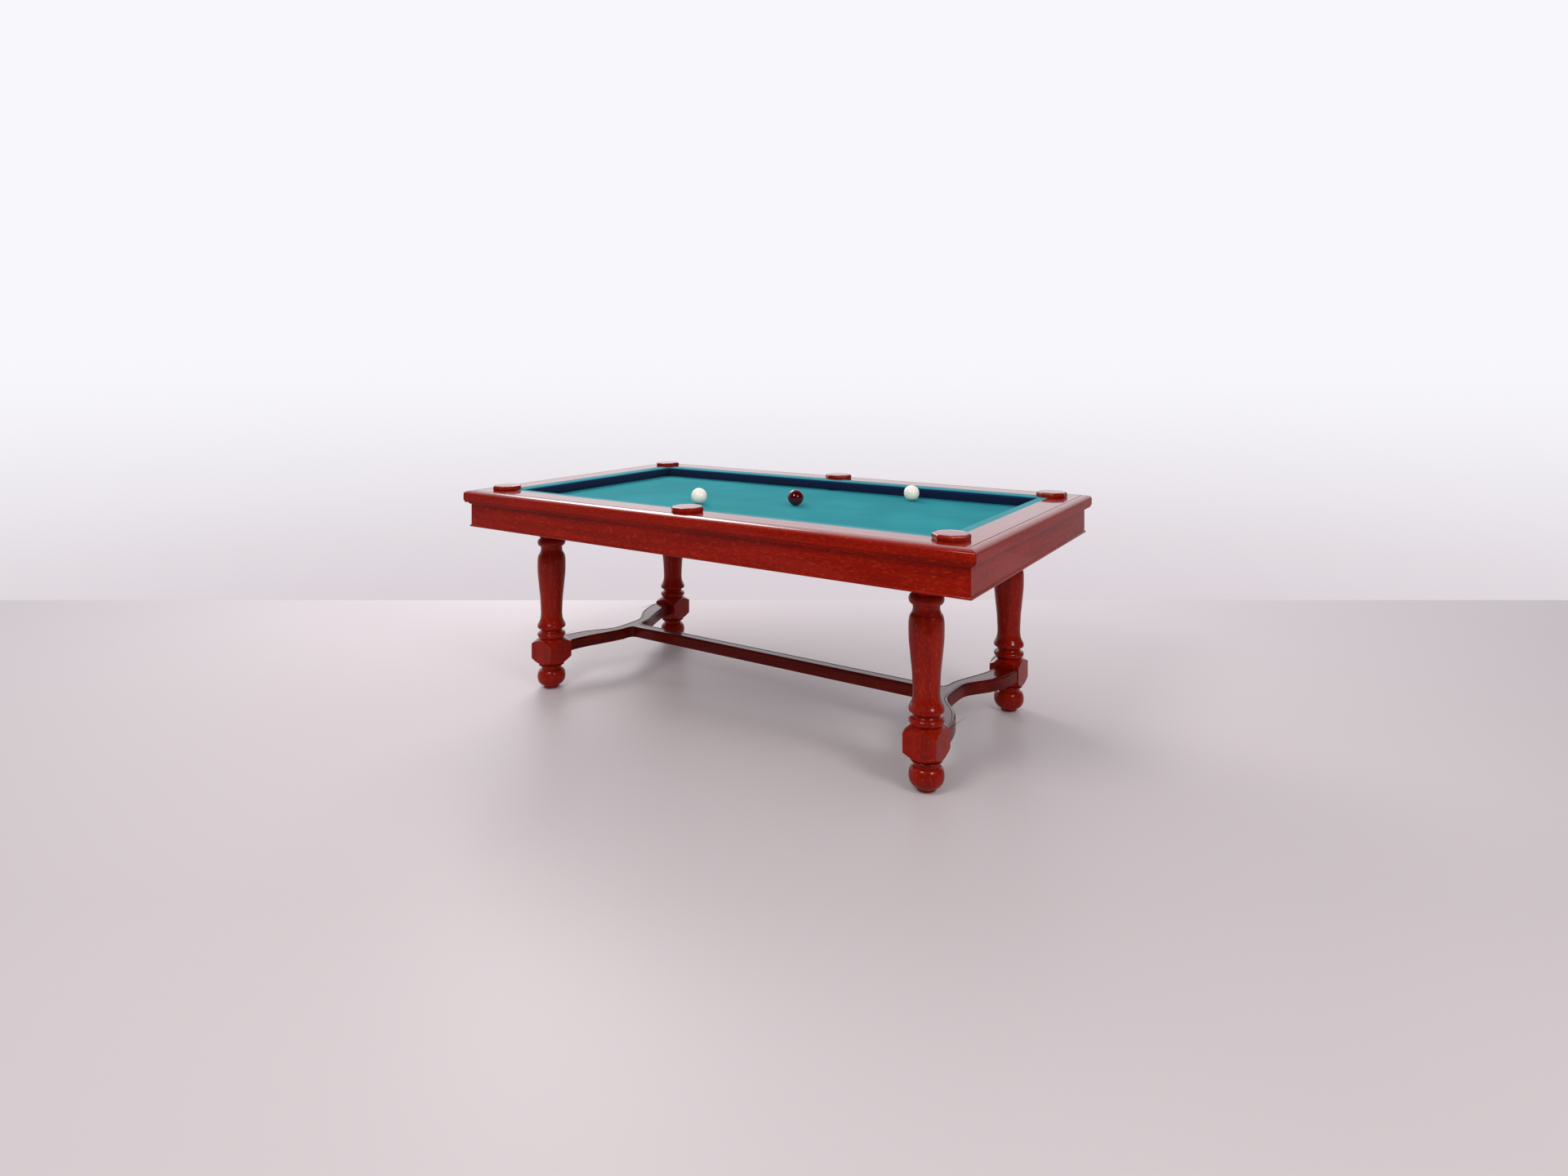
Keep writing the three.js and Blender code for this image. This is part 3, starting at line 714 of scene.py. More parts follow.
def dress(piece: Piece, material: bpy.types.Material, body: str, slot: str, *nodes: str) -> Piece:
    """Gives a piece its finish and its place in the frame.

    Args:
        piece: the finished mesh object.
        material: its finish.
        body: the body that it moves with.
        slot: the record's material slot; not used.
        nodes: the CAD nodes that it stands for.

    Returns:
        The same piece.
    """
    piece.data.materials.clear()
    piece.data.materials.append(material)
    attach(piece, body)
    if nodes:
        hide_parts(*nodes)
    LOG.info("%s: %d faces", piece.name, len(piece.data.polygons))
    return piece


def refinish(nodes: dict[str, Piece], names: Iterable[str], material: bpy.types.Material) -> None:
    """Gives CAD nodes that stay a better material.

    Args:
        nodes: the frame's nodes.
        names: which of them.
        material: their finish.
    """
    for name in names:
        mesh = nodes[name].data
        mesh.materials.clear()
        mesh.materials.append(material)
        LOG.info("%s: refinished", name)


def turn(name: str, outline: Outline, centre: tuple[float, float] = (0, 0), sides: int = 96) -> Piece:
    """Turns a solid about an upright axis, ring by ring.

    Args:
        name: the piece's name.
        outline: radius and height of each ring, from the first level face to the last.
        centre: where the axis stands.
        sides: how many sides a ring has.

    Returns:
        The turned solid.
    """
    (radius, height), *_ = outline
    bench = Bench.disc(name, (*centre, height), radius, sides)
    for (r0, z0), (r1, z1) in pairwise(outline):
        bench.extrude((0, 0, z1 - z0))
        bpy.ops.transform.resize(value=(r1 / r0, r1 / r0, 1), center_override=(*centre, z1))
    return bench.close()


def bulge(ends: tuple[float, float], rims: tuple[float, float], peak: float, steps: int) -> Outline:
    """Draws a half-round bead between two heights.

    Args:
        ends: lower and upper height.
        rims: radius at the lower and the upper end.
        peak: largest radius.
        steps: how many stretches it is drawn with, an even number.

    Returns:
        Its points.
    """
    line = []
    for i in range(steps + 1):
        angle = math.pi * i / steps
        rim = rims[0] if i < steps / 2 else rims[1]
        radius = rim + (peak - rim) * math.sin(angle)
        line.append((radius, (ends[0] + ends[1]) / 2 - (ends[1] - ends[0]) / 2 * math.cos(angle)))
    return line


def flowing(points: Outline, steps: int) -> Outline:
    """Draws a smooth line through points, as a Catmull-Rom curve.

    Args:
        points: the points to pass through.
        steps: how many stretches lie between two of them.

    Returns:
        The line's points.
    """
    ends = [points[0], *points, points[-1]]
    line = []
    for before, start, end, after in zip(ends, ends[1:], ends[2:], ends[3:]):
        for i in range(steps):
            t = i / steps
            line.append(
                tuple(
                    b + 0.5 * t * (c - a + t * (2 * a - 5 * b + 4 * c - d + t * (3 * (b - c) + d - a)))
                    for a, b, c, d in zip(before, start, end, after)
                )
            )
    return [*line, points[-1]]


@dataclass
class Plan:
    """The sizes that several parts share."""

    half_length: float = 1065 * MM
    half_width: float = 615 * MM
    top: float = 800 * MM
    bed: float = 755 * MM
    play_half_length: float = 900 * MM
    play_half_width: float = 450 * MM
    gap: float = 0.3 * MM
    hole: float = 43 * MM
    corner_cut: float = 75 * MM
    middle_cut: float = 50 * MM

    @property
    def pockets(self) -> dict[str, tuple[int, int]]:
        """Names of the six pockets, with their side along X and along Y."""
        along = {"left": -1, "middle": 0, "right": 1}
        across = {"front": -1, "back": 1}
        return {f"{b}_{a}": (x, y) for b, y in across.items() for a, x in along.items()}


@dataclass
class TurnedLegs:
    """Four legs, each turned from one square blank, with their felt pads."""

    finishes: Finishes
    blank: float = 111 * MM
    turned: float = 55 * MM
    top: float = 659.7 * MM
    pad: float = 3 * MM

    def outline(self) -> Outline:
        """Returns the leg's outline from the foot to the frame."""
        full, corner = self.turned / MM, self.blank / 2 * math.sqrt(2) / MM + 0.3
        foot = [(29, 3), (30, 4), (30, 10.4), (29.3, 11.5), (27.6, 12)]
        neck = [(38.9, 77.2), (38.2, 80), (38, 84), (38.3, 87.6), (39.6, 90), (42, 91)]
        shoulder = [(43.6, 97.8), (43.6, 98.8), (50, 100)]
        block = [(corner, 121), (corner, 179), (50, 200), (46.5, 201.5)]
        cove = [(44.2, 227.2), (41.8, 229.4), (40.7, 233), (41.6, 236), (43.8, 238.4)]
        flare = [(46.4, 239.5), (50.8, 241.4), (53.9, 243.6), (55, 246), (55, 249.6), (54.4, 253.2)]
        flare += [(52.8, 257.6), (50.3, 262.1), (47.8, 267), (45.6, 272)]
        vase = [(43.6, 280), (42, 292.7), (42, 308), (42.7, 325), (43.6, 345), (44.8, 365), (48.6, 401)]
        vase += [(52.7, 441.7), (54.5, 461), (55, 478), (55.2, 497), (54.9, 514), (52, 532.5)]
        vase += [(45.1, 544.4), (42.1, 554.7), (42.1, 564.6)]
        collar = [(43, 567.4), (43.6, 569.2)]
        upper = [(43.6, 602.2), (44.4, 604.5), (50, 611), (corner, 632), (corner, self.top / MM)]
        outline = [
            *foot,
            *bulge((12.6, 76.8), (29, 39.4), full, 20),
            *neck,
            *bulge((91.4, 97.4), (44, 44), 50, 8),
            *shoulder,
            *block,
            *bulge((203.6, 226.4), (45.1, 45.1), full, 12),
            *cove,
            *flowing(flare, 3),
            *flowing(vase, 4),
            *collar,
            *bulge((570.3, 601.5), (43.6, 43.6), full, 14),
            *upper,
        ]
        return [(radius * MM, height * MM) for radius, height in outline]

    def build(self) -> None:
        """Turns one leg, squares it to its blank, and sets four copies on their pads."""
        leg = turn("turned_leg", self.outline())
        half = self.blank / 2
        blank = Bench.block("blank", (-half, -half, 0), (half, half, self.top))
        blank.edges(lambda a, b: abs(a.z - b.z) > self.top / 2).bevel(1.2 * MM, 3)
        leg = smooth(combine(leg, blank.close(), "INTERSECT"), 32)
        felt = [(24, 0), (25, 0.8), (25, 2.4), (24.4, 3)]
        pad = turn("felt_pad", [(r * MM, z * MM) for r, z in felt], sides=64)
        smooth(pad, 50)
        for corner in ("front_left", "front_right", "back_left", "back_right"):
            there = over_floor(f"leg_{corner}")
            foot = copy_of(leg, f"turned_leg_{corner}", there)
            dress(foot, self.finishes.wood[Grain.ALONG_Z], ROOT, "turned_wood", f"leg_{corner}")
            felt_pad = copy_of(pad, f"felt_pad_{corner}", there)
            dress(felt_pad, self.finishes.felt, ROOT, "pad_felt", f"foot_pad_{corner}")
        bpy.data.objects.remove(leg)
        bpy.data.objects.remove(pad)


def middle_of(node: str) -> Vector:
    """Returns the middle of a CAD node's box."""
    low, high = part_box(node)
    return (low + high) / 2


def over_floor(node: str) -> Matrix:
    """Returns the move from the origin to below the middle of a CAD node, at floor level."""
    low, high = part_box(node)
    return Matrix.Translation(((low.x + high.x) / 2, (low.y + high.y) / 2, 0))


def saw(piece: Piece, point: Sequence[float], past: Vector, close: bool) -> None:
    """Saws a piece with a plane and takes away what lies past it.

    Args:
        piece: the piece.
        point: a point on the plane.
        past: the plane's normal, towards the side that goes.
        close: whether the cut is closed with a face.
    """
    pick(piece)
    bpy.ops.object.mode_set(mode="EDIT")
    bpy.ops.mesh.select_all(action="SELECT")
    bpy.ops.mesh.bisect(plane_co=point, plane_no=past, clear_outer=True, use_fill=close)
    bpy.ops.object.mode_set(mode="OBJECT")


class Side(Enum):
    """The four sides of the table: turn from the front, and grain of the boards there."""

    FRONT = (0.0, Grain.ALONG_X)
    RIGHT = (math.pi / 2, Grain.ALONG_Y)
    BACK = (math.pi, Grain.ALONG_X)
    LEFT = (-math.pi / 2, Grain.ALONG_Y)

    @property
    def turn(self) -> Matrix:
        """The turn from the front to this side."""
        return Matrix.Rotation(self.value[0], 4, "Z")

    @property
    def grain(self) -> Grain:
        """The way a board's grain runs on this side."""
        return self.value[1]

    @property
    def is_long(self) -> bool:
        """Whether this is a long side."""
        return self.grain is Grain.ALONG_X

    def sign(self) -> int:
        """Returns +1 where the turned X axis points along the row's own axis, else -1."""
        return 1 if self in (Side.FRONT, Side.RIGHT) else -1


def mitre(ring: Piece, name: str, side: Side, half: tuple[float, float], gap: float) -> Piece:
    """Saws one board out of a closed rectangular ring, with a mitre at both ends.

    Args:
        ring: the ring.
        name: the board's name.
        side: the side that is kept.
        half: half sizes of the ring's outline, on whose corners the mitres start.
        gap: width of the joint.

    Returns:
        The board.
    """
    board = copy_of(ring, name, Matrix.Identity(4))
    across = half[1] if side.is_long else half[0]
    along = half[0] if side.is_long else half[1]
    for end in (-1, 1):
        normal = side.turn @ Vector((end, 1, 0)).normalized()
        corner = side.turn @ Vector((end * along, -across, 0)) - normal * gap / 2
        saw(board, corner, normal, close=True)
    return board


@dataclass
class RailFrame:
    """The mitred rails: thumb moulding, groove along the top, rebated lip, pocket bites."""

    plan: Plan
    finishes: Finishes
    width: float = 120 * MM
    edge_round: float = 13 * MM
    edge_round_width: float = 27 * MM
    corner_round: float = 5 * MM
    lip_height: float = 7 * MM
    lip_inset: float = 4 * MM
    groove_inset: float = 31 * MM
    groove_width: float = 4 * MM
    groove_depth: float = 2 * MM

    def outline(self, inset: float) -> list[Vector]:
        """Draws the frame's outline, moved inward, with corners that sharpen as it goes in."""
        x, y = self.plan.half_length - inset, self.plan.half_width - inset
        radius = max(self.corner_round - inset, 0)
        steps = 6
        line = []
        for quarter, (sx, sy) in enumerate(((1, 1), (-1, 1), (-1, -1), (1, -1))):
            centre = Vector((sx * (x - radius), sy * (y - radius)))
            for i in range(steps + 1):
                angle = math.pi / 2 * (quarter + i / steps)
                line.append(centre + radius * Vector((math.cos(angle), math.sin(angle))))
        return line

    def section(self) -> list[tuple[float, float]]:
        """Returns the rail's section as inset and height, from the foot over the top to the foot."""
        foot, top = self.plan.bed + self.plan.gap, self.plan.top
        ledge, side = foot + self.lip_height, self.groove_width / 2
        lip = [(self.lip_inset, foot), (self.lip_inset, ledge), (2 * MM, ledge)]
        lip += [(0.6 * MM, ledge + 0.6 * MM), (0, ledge + 2 * MM)]
        steps = 14
        thumb = []
        for i in range(steps + 1):
            angle = math.pi / 2 * i / steps
            inset = self.edge_round_width * (1 - math.cos(angle))
            thumb.append((inset, top - self.edge_round * (1 - math.sin(angle))))
        ease = 0.5 * MM
        groove = [
            (self.groove_inset - side, top),
            (self.groove_inset - side + ease, top - ease),
            (self.groove_inset - ease, top - self.groove_depth),
            (self.groove_inset + ease, top - self.groove_depth),
            (self.groove_inset + side - ease, top - ease),
            (self.groove_inset + side, top),
        ]
        return [*lip, *thumb, *groove, (self.width, top), (self.width, foot)]

    def ring(self) -> Piece:
        """Returns the whole frame as one closed ring."""
        rings = [(self.outline(inset), height) for inset, height in self.section()]
        bench = Bench.loft("rail_ring", rings)
        everywhere = (self.plan.half_length, self.plan.half_width)
        bench.open_ring([self.plan.bed + self.plan.gap], everywhere)
        return bench.close()

    def build(self) -> None:
        """Saws the ring into four boards and drills the pocket bites."""
        ring = self.ring()
        plan = self.plan
        half = (plan.half_length, plan.half_width)
        overrun = 20 * MM
        drill = [(plan.hole, plan.bed - overrun), (plan.hole, plan.top + overrun)]
        for side in Side:
            name = side.name.lower()
            board = mitre(ring, f"rail_board_{name}", side, half, plan.gap)
            for pocket in plan.pockets:
                centre = middle_of(f"pocket_cup_{pocket}")
                if self.meets(side, centre):
                    board = combine(board, turn("drill", drill, centre.xy[:], 64), "DIFFERENCE")
            smooth(board)
            dress(board, self.finishes.wood[side.grain], ROOT, "rail_wood", f"rail_{name}")
        bpy.data.objects.remove(ring)

    def meets(self, side: Side, centre: Vector) -> bool:
        """Tells whether a pocket stands at this side."""
        local = side.turn.inverted() @ centre
        return local.y < 0 and (side.is_long or abs(centre.x) > self.plan.hole)


@dataclass
class ApronBoards:
    """The deep mitred boards under the rails, beaded above and below."""

    plan: Plan
    finishes: Finishes
    inset: float = 23 * MM
    thickness: float = 22 * MM
    height: float = 98 * MM
    top_bead: float = 8 * MM
    top_proud: float = 7 * MM
    foot_bead: float = 8 * MM
    foot_proud: float = 4 * MM

    def ring(self) -> Piece:
        """Returns the four boards as one closed ring."""
        x, y = self.plan.half_length - self.inset, self.plan.half_width - self.inset
        top = self.plan.bed
        foot = top - self.height
        bench = Bench.block("apron_ring", (-x, -y, foot), (x, y, top))
        bench.cut((0, 0, foot + self.foot_bead), (0, 0, 1))
        bench.cut((0, 0, top - self.top_bead), (0, 0, 1))
        bench.faces(lambda c, n: abs(n.z) > 0.9).inset(self.thickness)
        inner = (x - self.thickness + TINY, y - self.thickness + TINY)
        bench.open_ring((top, foot), inner)
        low_strip = lambda c, n: c.z < foot + self.foot_bead and abs(n.z) < 0.1  # noqa: E731
        outside = lambda c: not _within(c, (x - TINY, y - TINY))  # noqa: E731
        bench.faces(lambda c, n: low_strip(c, n) and outside(c)).swell(self.foot_proud)
        top_strip = lambda c, n: c.z > top - self.top_bead and abs(n.z) < 0.1  # noqa: E731
        bench.faces(lambda c, n: top_strip(c, n) and outside(c)).swell(self.top_proud)
        for reach, proud, width in (
            ((foot - TINY, foot + self.foot_bead + TINY), self.foot_proud, 3.6 * MM),
            ((top - self.top_bead - TINY, top + TINY), self.top_proud, 3.8 * MM),
        ):
            edge = self.proud_edge(reach, (x + proud - TINY, y + proud - TINY))
            bench.edges(edge).bevel(width, 4)
        return bench.close()

    @staticmethod
    def proud_edge(reach: tuple[float, float], half: tuple[float, float]) -> Callable[[Vector, Vector], bool]:
        """Makes the test for a bead's outer edges, between two heights outside a rectangle."""

        def is_proud(a: Vector, b: Vector) -> bool:
            """Tells whether both ends lie on the bead's outer face, at one height."""
            level = abs(a.z - b.z) < TINY
            return level and all(reach[0] < v.z < reach[1] and not _within(v, half) for v in (a, b))

        return is_proud

    def build(self) -> None:
        """Saws the ring into four boards."""
        ring = self.ring()
        half = (self.plan.half_length - self.inset, self.plan.half_width - self.inset)
        for side in Side:
            name = side.name.lower()
            board = smooth(mitre(ring, f"apron_board_{name}", side, half, self.plan.gap))
            dress(board, self.finishes.wood[side.grain], ROOT, "rail_wood", f"apron_{name}")
        bpy.data.objects.remove(ring)


@dataclass
class Cushions:
    """Rubber cushions in their cloth, with the nose above the middle of a ball."""

    plan: Plan
    finishes: Finishes
    width: float = 45 * MM
    foot_width: float = 22 * MM
    foot_rise: float = 5 * MM
    nose_drop: float = 12 * MM
    crown_width: float = 38 * MM
    crown_drop: float = 1.5 * MM

    def length(self, name: str, side: Side, start: float, end: float) -> Piece:
        """Makes a length of cushion.

        Args:
            name: the piece's name.
            side: the side that it runs along.
            start: where it starts along that side, before the turn.
            end: where it ends.

        Returns:
            The cushion, in place.
        """
        plan = self.plan
        across = plan.play_half_width if side.is_long else plan.play_half_length
        wood = -(across + self.width - plan.gap)
        nose = wood + self.width
        foot, top = plan.bed + plan.gap, plan.top - plan.gap
        nose_height = plan.top - self.nose_drop
        bench = Bench.block(name, (start, wood, foot), (end, nose, top))
        bench.cut((0, 0, foot + self.foot_rise), (0, 0, 1)).cut((0, 0, nose_height), (0, 0, 1))
        facing = lambda v: v.y > nose - TINY  # noqa: E731
        low = lambda v: facing(v) and v.z < foot + self.foot_rise + TINY  # noqa: E731
        bench.edges(lambda a, b: low(a) and low(b)).move((0, self.foot_width - self.width, 0))
        high = lambda v: facing(v) and v.z > top - TINY  # noqa: E731
        bench.edges(lambda a, b: high(a) and high(b))
        bench.move((0, self.crown_width - self.width, -self.crown_drop))
        tip = lambda v: facing(v) and abs(v.z - nose_height) < TINY  # noqa: E731
        bench.edges(lambda a, b: tip(a) and tip(b)).bevel(3.2 * MM, 5)
        crown = top - self.crown_drop
        turned = lambda v: abs(v.z - crown) < TINY and v.y > wood + self.foot_width  # noqa: E731
        bench.edges(lambda a, b: turned(a) and turned(b)).bevel(5 * MM, 4)
        for end_x in (start, end):
            at_end = lambda v: abs(v.x - end_x) < TINY  # noqa: E731
            bench.edges(lambda a, b: at_end(a) and at_end(b)).bevel(0.8 * MM, 2)
        piece = bench.close()
        piece.data.transform(side.turn)
        return piece

    def build(self) -> None:
        """Makes the six fixed cushions."""
        plan = self.plan
        long_end = plan.play_half_length - plan.corner_cut
        short_end = plan.play_half_width - plan.corner_cut
        runs = {
            "front_left": (Side.FRONT, -long_end, -plan.middle_cut),
            "front_right": (Side.FRONT, plan.middle_cut, long_end),
            "back_right": (Side.BACK, -long_end, -plan.middle_cut),
            "back_left": (Side.BACK, plan.middle_cut, long_end),
            "right": (Side.RIGHT, -short_end, short_end),
            "left": (Side.LEFT, -short_end, short_end),
        }
        for name, run in runs.items():
            piece = smooth(self.length(f"cushion_cover_{name}", *run), 40)
            dress(piece, self.finishes.cushion_cloth, ROOT, "cushion_cloth", f"cushion_{name}")


@dataclass
class PocketPlugs:
    """The lift-out plugs: an octagonal cap over a core that carries a piece of cushion."""

    plan: Plan
    finishes: Finishes
    cushions: Cushions
    clearance: float = 0.4 * MM
    across_flats: float = 106 * MM
    thickness: float = 18 * MM

    def cap(self) -> Piece:
        """Returns one cap on the origin, with a rounded edge and a slightly crowned top."""
        sides, corner, steps = 8, 5 * MM, 4
        turn_in = (self.across_flats / 2 - corner) / math.cos(math.pi / sides)
        line = []
        for i in range(sides * (steps + 1)):
            side, step = divmod(i, steps + 1)
            middle = (side + 0.5) * 2 * math.pi / sides
            angle = middle + (step / steps - 0.5) * 2 * math.pi / sides
            line.append(turn_in * Vector((math.cos(middle), math.sin(middle))))
            line[-1] += corner * Vector((math.cos(angle), math.sin(angle)))
        edge = [(0.965, 0), (0.99, 0.2), (1, 0.42), (0.99, 0.66), (0.955, 0.88), (0.9, 0.98)]
        crown = [(0.84, 1), (0.6, 1.02), (0.3, 1.03)]
        rings = [
            ([p * share for p in line], self.plan.top + height * self.thickness)
            for share, height in flowing([*edge, *crown], 4)
        ]
        return Bench.loft("cap", rings).close()

    def core(self, name: str, x: int, y: int, centre: Vector) -> Piece:
        """Makes the core that fills the pocket hole, cut back to the foot of the cushion."""
        plan = self.plan
        foot, top = plan.bed + self.clearance, plan.top - plan.gap
        radius = plan.hole - self.clearance
        outline = [(radius - 1 * MM, foot), (radius, foot + 1 * MM), (radius, top)]
        core = turn(name, outline, centre.xy[:], 64)
        reach = self.cushions.width - self.cushions.foot_width
        half = (plan.play_half_length + reach, plan.play_half_width + reach)
        open_x = half[0] if x else plan.half_length
        low, high = foot - 20 * MM, top + 20 * MM
        bed = Bench.block("open_bed", (-open_x, -half[1], low), (open_x, half[1], high)).close()
        return combine(core, bed, "DIFFERENCE")

    def arm(self, name: str, side: Side, x: int, y: int) -> Piece:
        """Makes one arm of a corner's cushion piece, sawn open on the corner's mitre."""
        plan = self.plan
        half = plan.play_half_length if side.is_long else plan.play_half_width
        sign = side.sign() * (x if side.is_long else y)
        near = half - plan.corner_cut + self.clearance
        far = half + self.cushions.width + 10 * MM
        start, end = sorted((sign * near, sign * far))
        arm = self.cushions.length(name, side, start, end)
        past = Vector((x, -y, 0)) * (1 if side.is_long else -1)
        corner = (x * plan.play_half_length, y * plan.play_half_width, 0)
        saw(arm, corner, past, close=False)
        return arm

    def corner(self, name: str, x: int, y: int) -> Piece:
        """Makes a corner's cushion piece from two arms, welded along the mitre."""
        arm = self.arm(name, Side.FRONT if y < 0 else Side.BACK, x, y)
        other = self.arm("arm", Side.RIGHT if x > 0 else Side.LEFT, x, y)
        pick(arm)
        other.select_set(True)
        bpy.ops.object.join()
        return Bench(name).close()

    def build(self) -> None:
        """Makes the six plugs."""
        cap = smooth(self.cap(), 30)
        for pocket, (x, y) in self.plan.pockets.items():
            body = f"plug_{pocket}"
            top = copy_of(cap, f"octagonal_cap_{pocket}", over_floor(f"plug_cap_{pocket}"))
            dress(top, self.finishes.wood[Grain.ALONG_X], body, "rail_wood", f"plug_cap_{pocket}")
            name = f"plug_cushion_{pocket}"
            if x:
                rubber = self.corner(name, x, y)
            else:
                half = self.plan.middle_cut - self.clearance
                side = Side.FRONT if y < 0 else Side.BACK
                rubber = self.cushions.length(name, side, -half, half)
            core = self.core(f"plug_core_{pocket}", x, y, middle_of(f"pocket_cup_{pocket}"))
            shell = copy_of(rubber, "shell", Matrix.Identity(4))
            core = smooth(combine(core, shell, "DIFFERENCE"))
            smooth(rubber, 40)
            node = f"plug_insert_{pocket}"
            dress(rubber, self.finishes.cushion_cloth, body, "cushion_cloth", node)
            dress(core, self.finishes.bare_wood[Grain.ALONG_X], body, "cushion_cloth")
        bpy.data.objects.remove(cap)


@dataclass
class Stretchers:
    """Two curved yokes and the long rail between them, with a bead along the upper edges."""

    finishes: Finishes
    bottom: float = 130 * MM
    top: float = 175 * MM
    leg_x: float = 817 * MM
    reach: float = 324.2 * MM
    sweep: float = 90 * MM
    arm: float = 56 * MM
    arm_end: float = 64 * MM
    neck_reach: float = 40 * MM
    neck: float = 54 * MM
    fillet: float = 38 * MM
    width: float = 50 * MM
    spare: float = 16 * MM
    bead: float = 10 * MM
    quirk: float = 1.4 * MM
    quirk_depth: float = 2.2 * MM
    panel_rise: float = 1.2 * MM
    top_round: float = 8 * MM
    foot_round: float = 3 * MM
    joint: float = 0.3 * MM
    # Outer edge of a yoke: share of the reach, share of the sweep outward of the middle.
    outer: tuple[tuple[float, float], ...] = (
        (0, 0.33),
        (0.2, 0.36),
        (0.31, 0.52),
        (0.42, 0.81),
        (0.55, 1.13),
        (0.7, 1.36),
        (0.85, 1.5),
        (1, 1.58),
    )

    def outer_edge(self) -> list[Vector]:
        """Returns the yoke's outer edge, running past both legs' faces."""
        half = [(share * self.reach, out * self.sweep) for share, out in self.outer]
        half.append((self.reach + self.spare, half[-1][1]))
        mirrored = [(-y, out) for y, out in reversed(half[1:])]
        return [Vector((out, y)) for y, out in flowing([*mirrored, *half], 4)]

    def inner_edge(self, y: float) -> Vector:
        """Gives a point on the yoke's inner edge.

        Args:
            y: place along the middle line, across the table.

        Returns:
            The point, with x outward from the middle of the curve.
        """
        held = max(-self.reach, min(self.reach, y))
        angle = math.pi * held / self.reach
        slope = self.sweep * math.pi / self.reach / 2 * math.sin(angle)
        half = (self.arm + (self.arm_end - self.arm) * (held / self.reach) ** 2) / 2
        out = Vector((-1, slope)).normalized() * half
        return Vector((self.sweep * (1 - math.cos(angle)) / 2 + out.x, y + out.y))

    def yoke_plan(self) -> list[Vector]:
        """Returns the yoke's outline, running past its three joints."""
        end = self.reach + self.spare
        steps = 24
        start = self.neck / 2 + self.fillet
        inner = [self.inner_edge(end + (start - end) * i / steps) for i in range(steps + 1)]
        last = inner[-1]
        corner = Vector((last.x, self.neck / 2))
        foot = Vector((-self.neck_reach, self.neck / 2))
        turn_in = [
            last * (1 - t) ** 2 + corner * 2 * t * (1 - t) + foot * t * t
            for t in (i / 12 for i in range(1, 13))
        ]
        past = Vector((-self.neck_reach - self.spare, self.neck / 2))
        upper = [*inner, *turn_in, past]
        lower = [Vector((p.x, -p.y)) for p in reversed(upper)]
        return [*self.outer_edge(), *upper, *lower]

    def mould(self, bench: Bench) -> None:
        """Works the bead and quirk round the top of a board."""
        bench.faces(lambda c, n: n.z > 0.9)
        bench.inset(self.bead).inset(self.quirk, -self.quirk_depth).inset(self.quirk, self.panel_rise)

    def soften(self, bench: Bench, on_side: Callable[[Vector], bool]) -> None:
        """Rounds the outer edges of a board above and below."""
        level = lambda a, b, z: all(abs(v.z - z) < TINY and on_side(v) for v in (a, b))  # noqa: E731
        bench.edges(lambda a, b: level(a, b, self.top)).bevel(self.top_round, 8)
        bench.edges(lambda a, b: level(a, b, self.bottom)).bevel(self.foot_round, 3)

    def yoke(self) -> Piece:
        """Returns one yoke about the middle of its curve, at the right-hand end."""
        plan = self.yoke_plan()
        bench = Bench.board("yoke", plan, self.bottom, self.top)
        self.mould(bench)
        self.soften(bench, lambda v: min((v.xy - p).length for p in plan) < TINY)
        for sign in (-1, 1):
            bench.cut((0, sign * self.reach, 0), (0, sign, 0), clear=True)
        bench.cut((-self.neck_reach, 0, 0), (-1, 0, 0), clear=True)
        return bench.close()

    def build(self) -> None:
        """Makes the two yokes and the long rail."""
        # The darker mahogany here is painted shade under the table.
        wood = self.finishes.stretcher_wood
        middle = self.leg_x - self.sweep
        yoke = smooth(self.yoke(), 40)
        there = Matrix.Translation((middle, 0, 0))
        for name, move in (("right", there), ("left", Matrix.Rotation(math.pi, 4, "Z") @ there)):
            piece = copy_of(yoke, f"curved_yoke_{name}", move)
            dress(piece, wood[Grain.ALONG_Y], ROOT, "turned_wood", f"yoke_stretcher_{name}")
        bpy.data.objects.remove(yoke)
        end = middle - self.neck_reach - self.joint
        half = self.width / 2
        past = end + self.spare
        bench = Bench.block("long_rail", (-past, -half, self.bottom), (past, half, self.top))
        self.mould(bench)
        self.soften(bench, lambda v: abs(v.y) > half - TINY)
        for sign in (-1, 1):
            bench.cut((sign * end, 0, 0), (sign, 0, 0), clear=True)
        rail = smooth(bench.close(), 40)
        dress(rail, wood[Grain.ALONG_X], ROOT, "turned_wood", "long_stretcher")


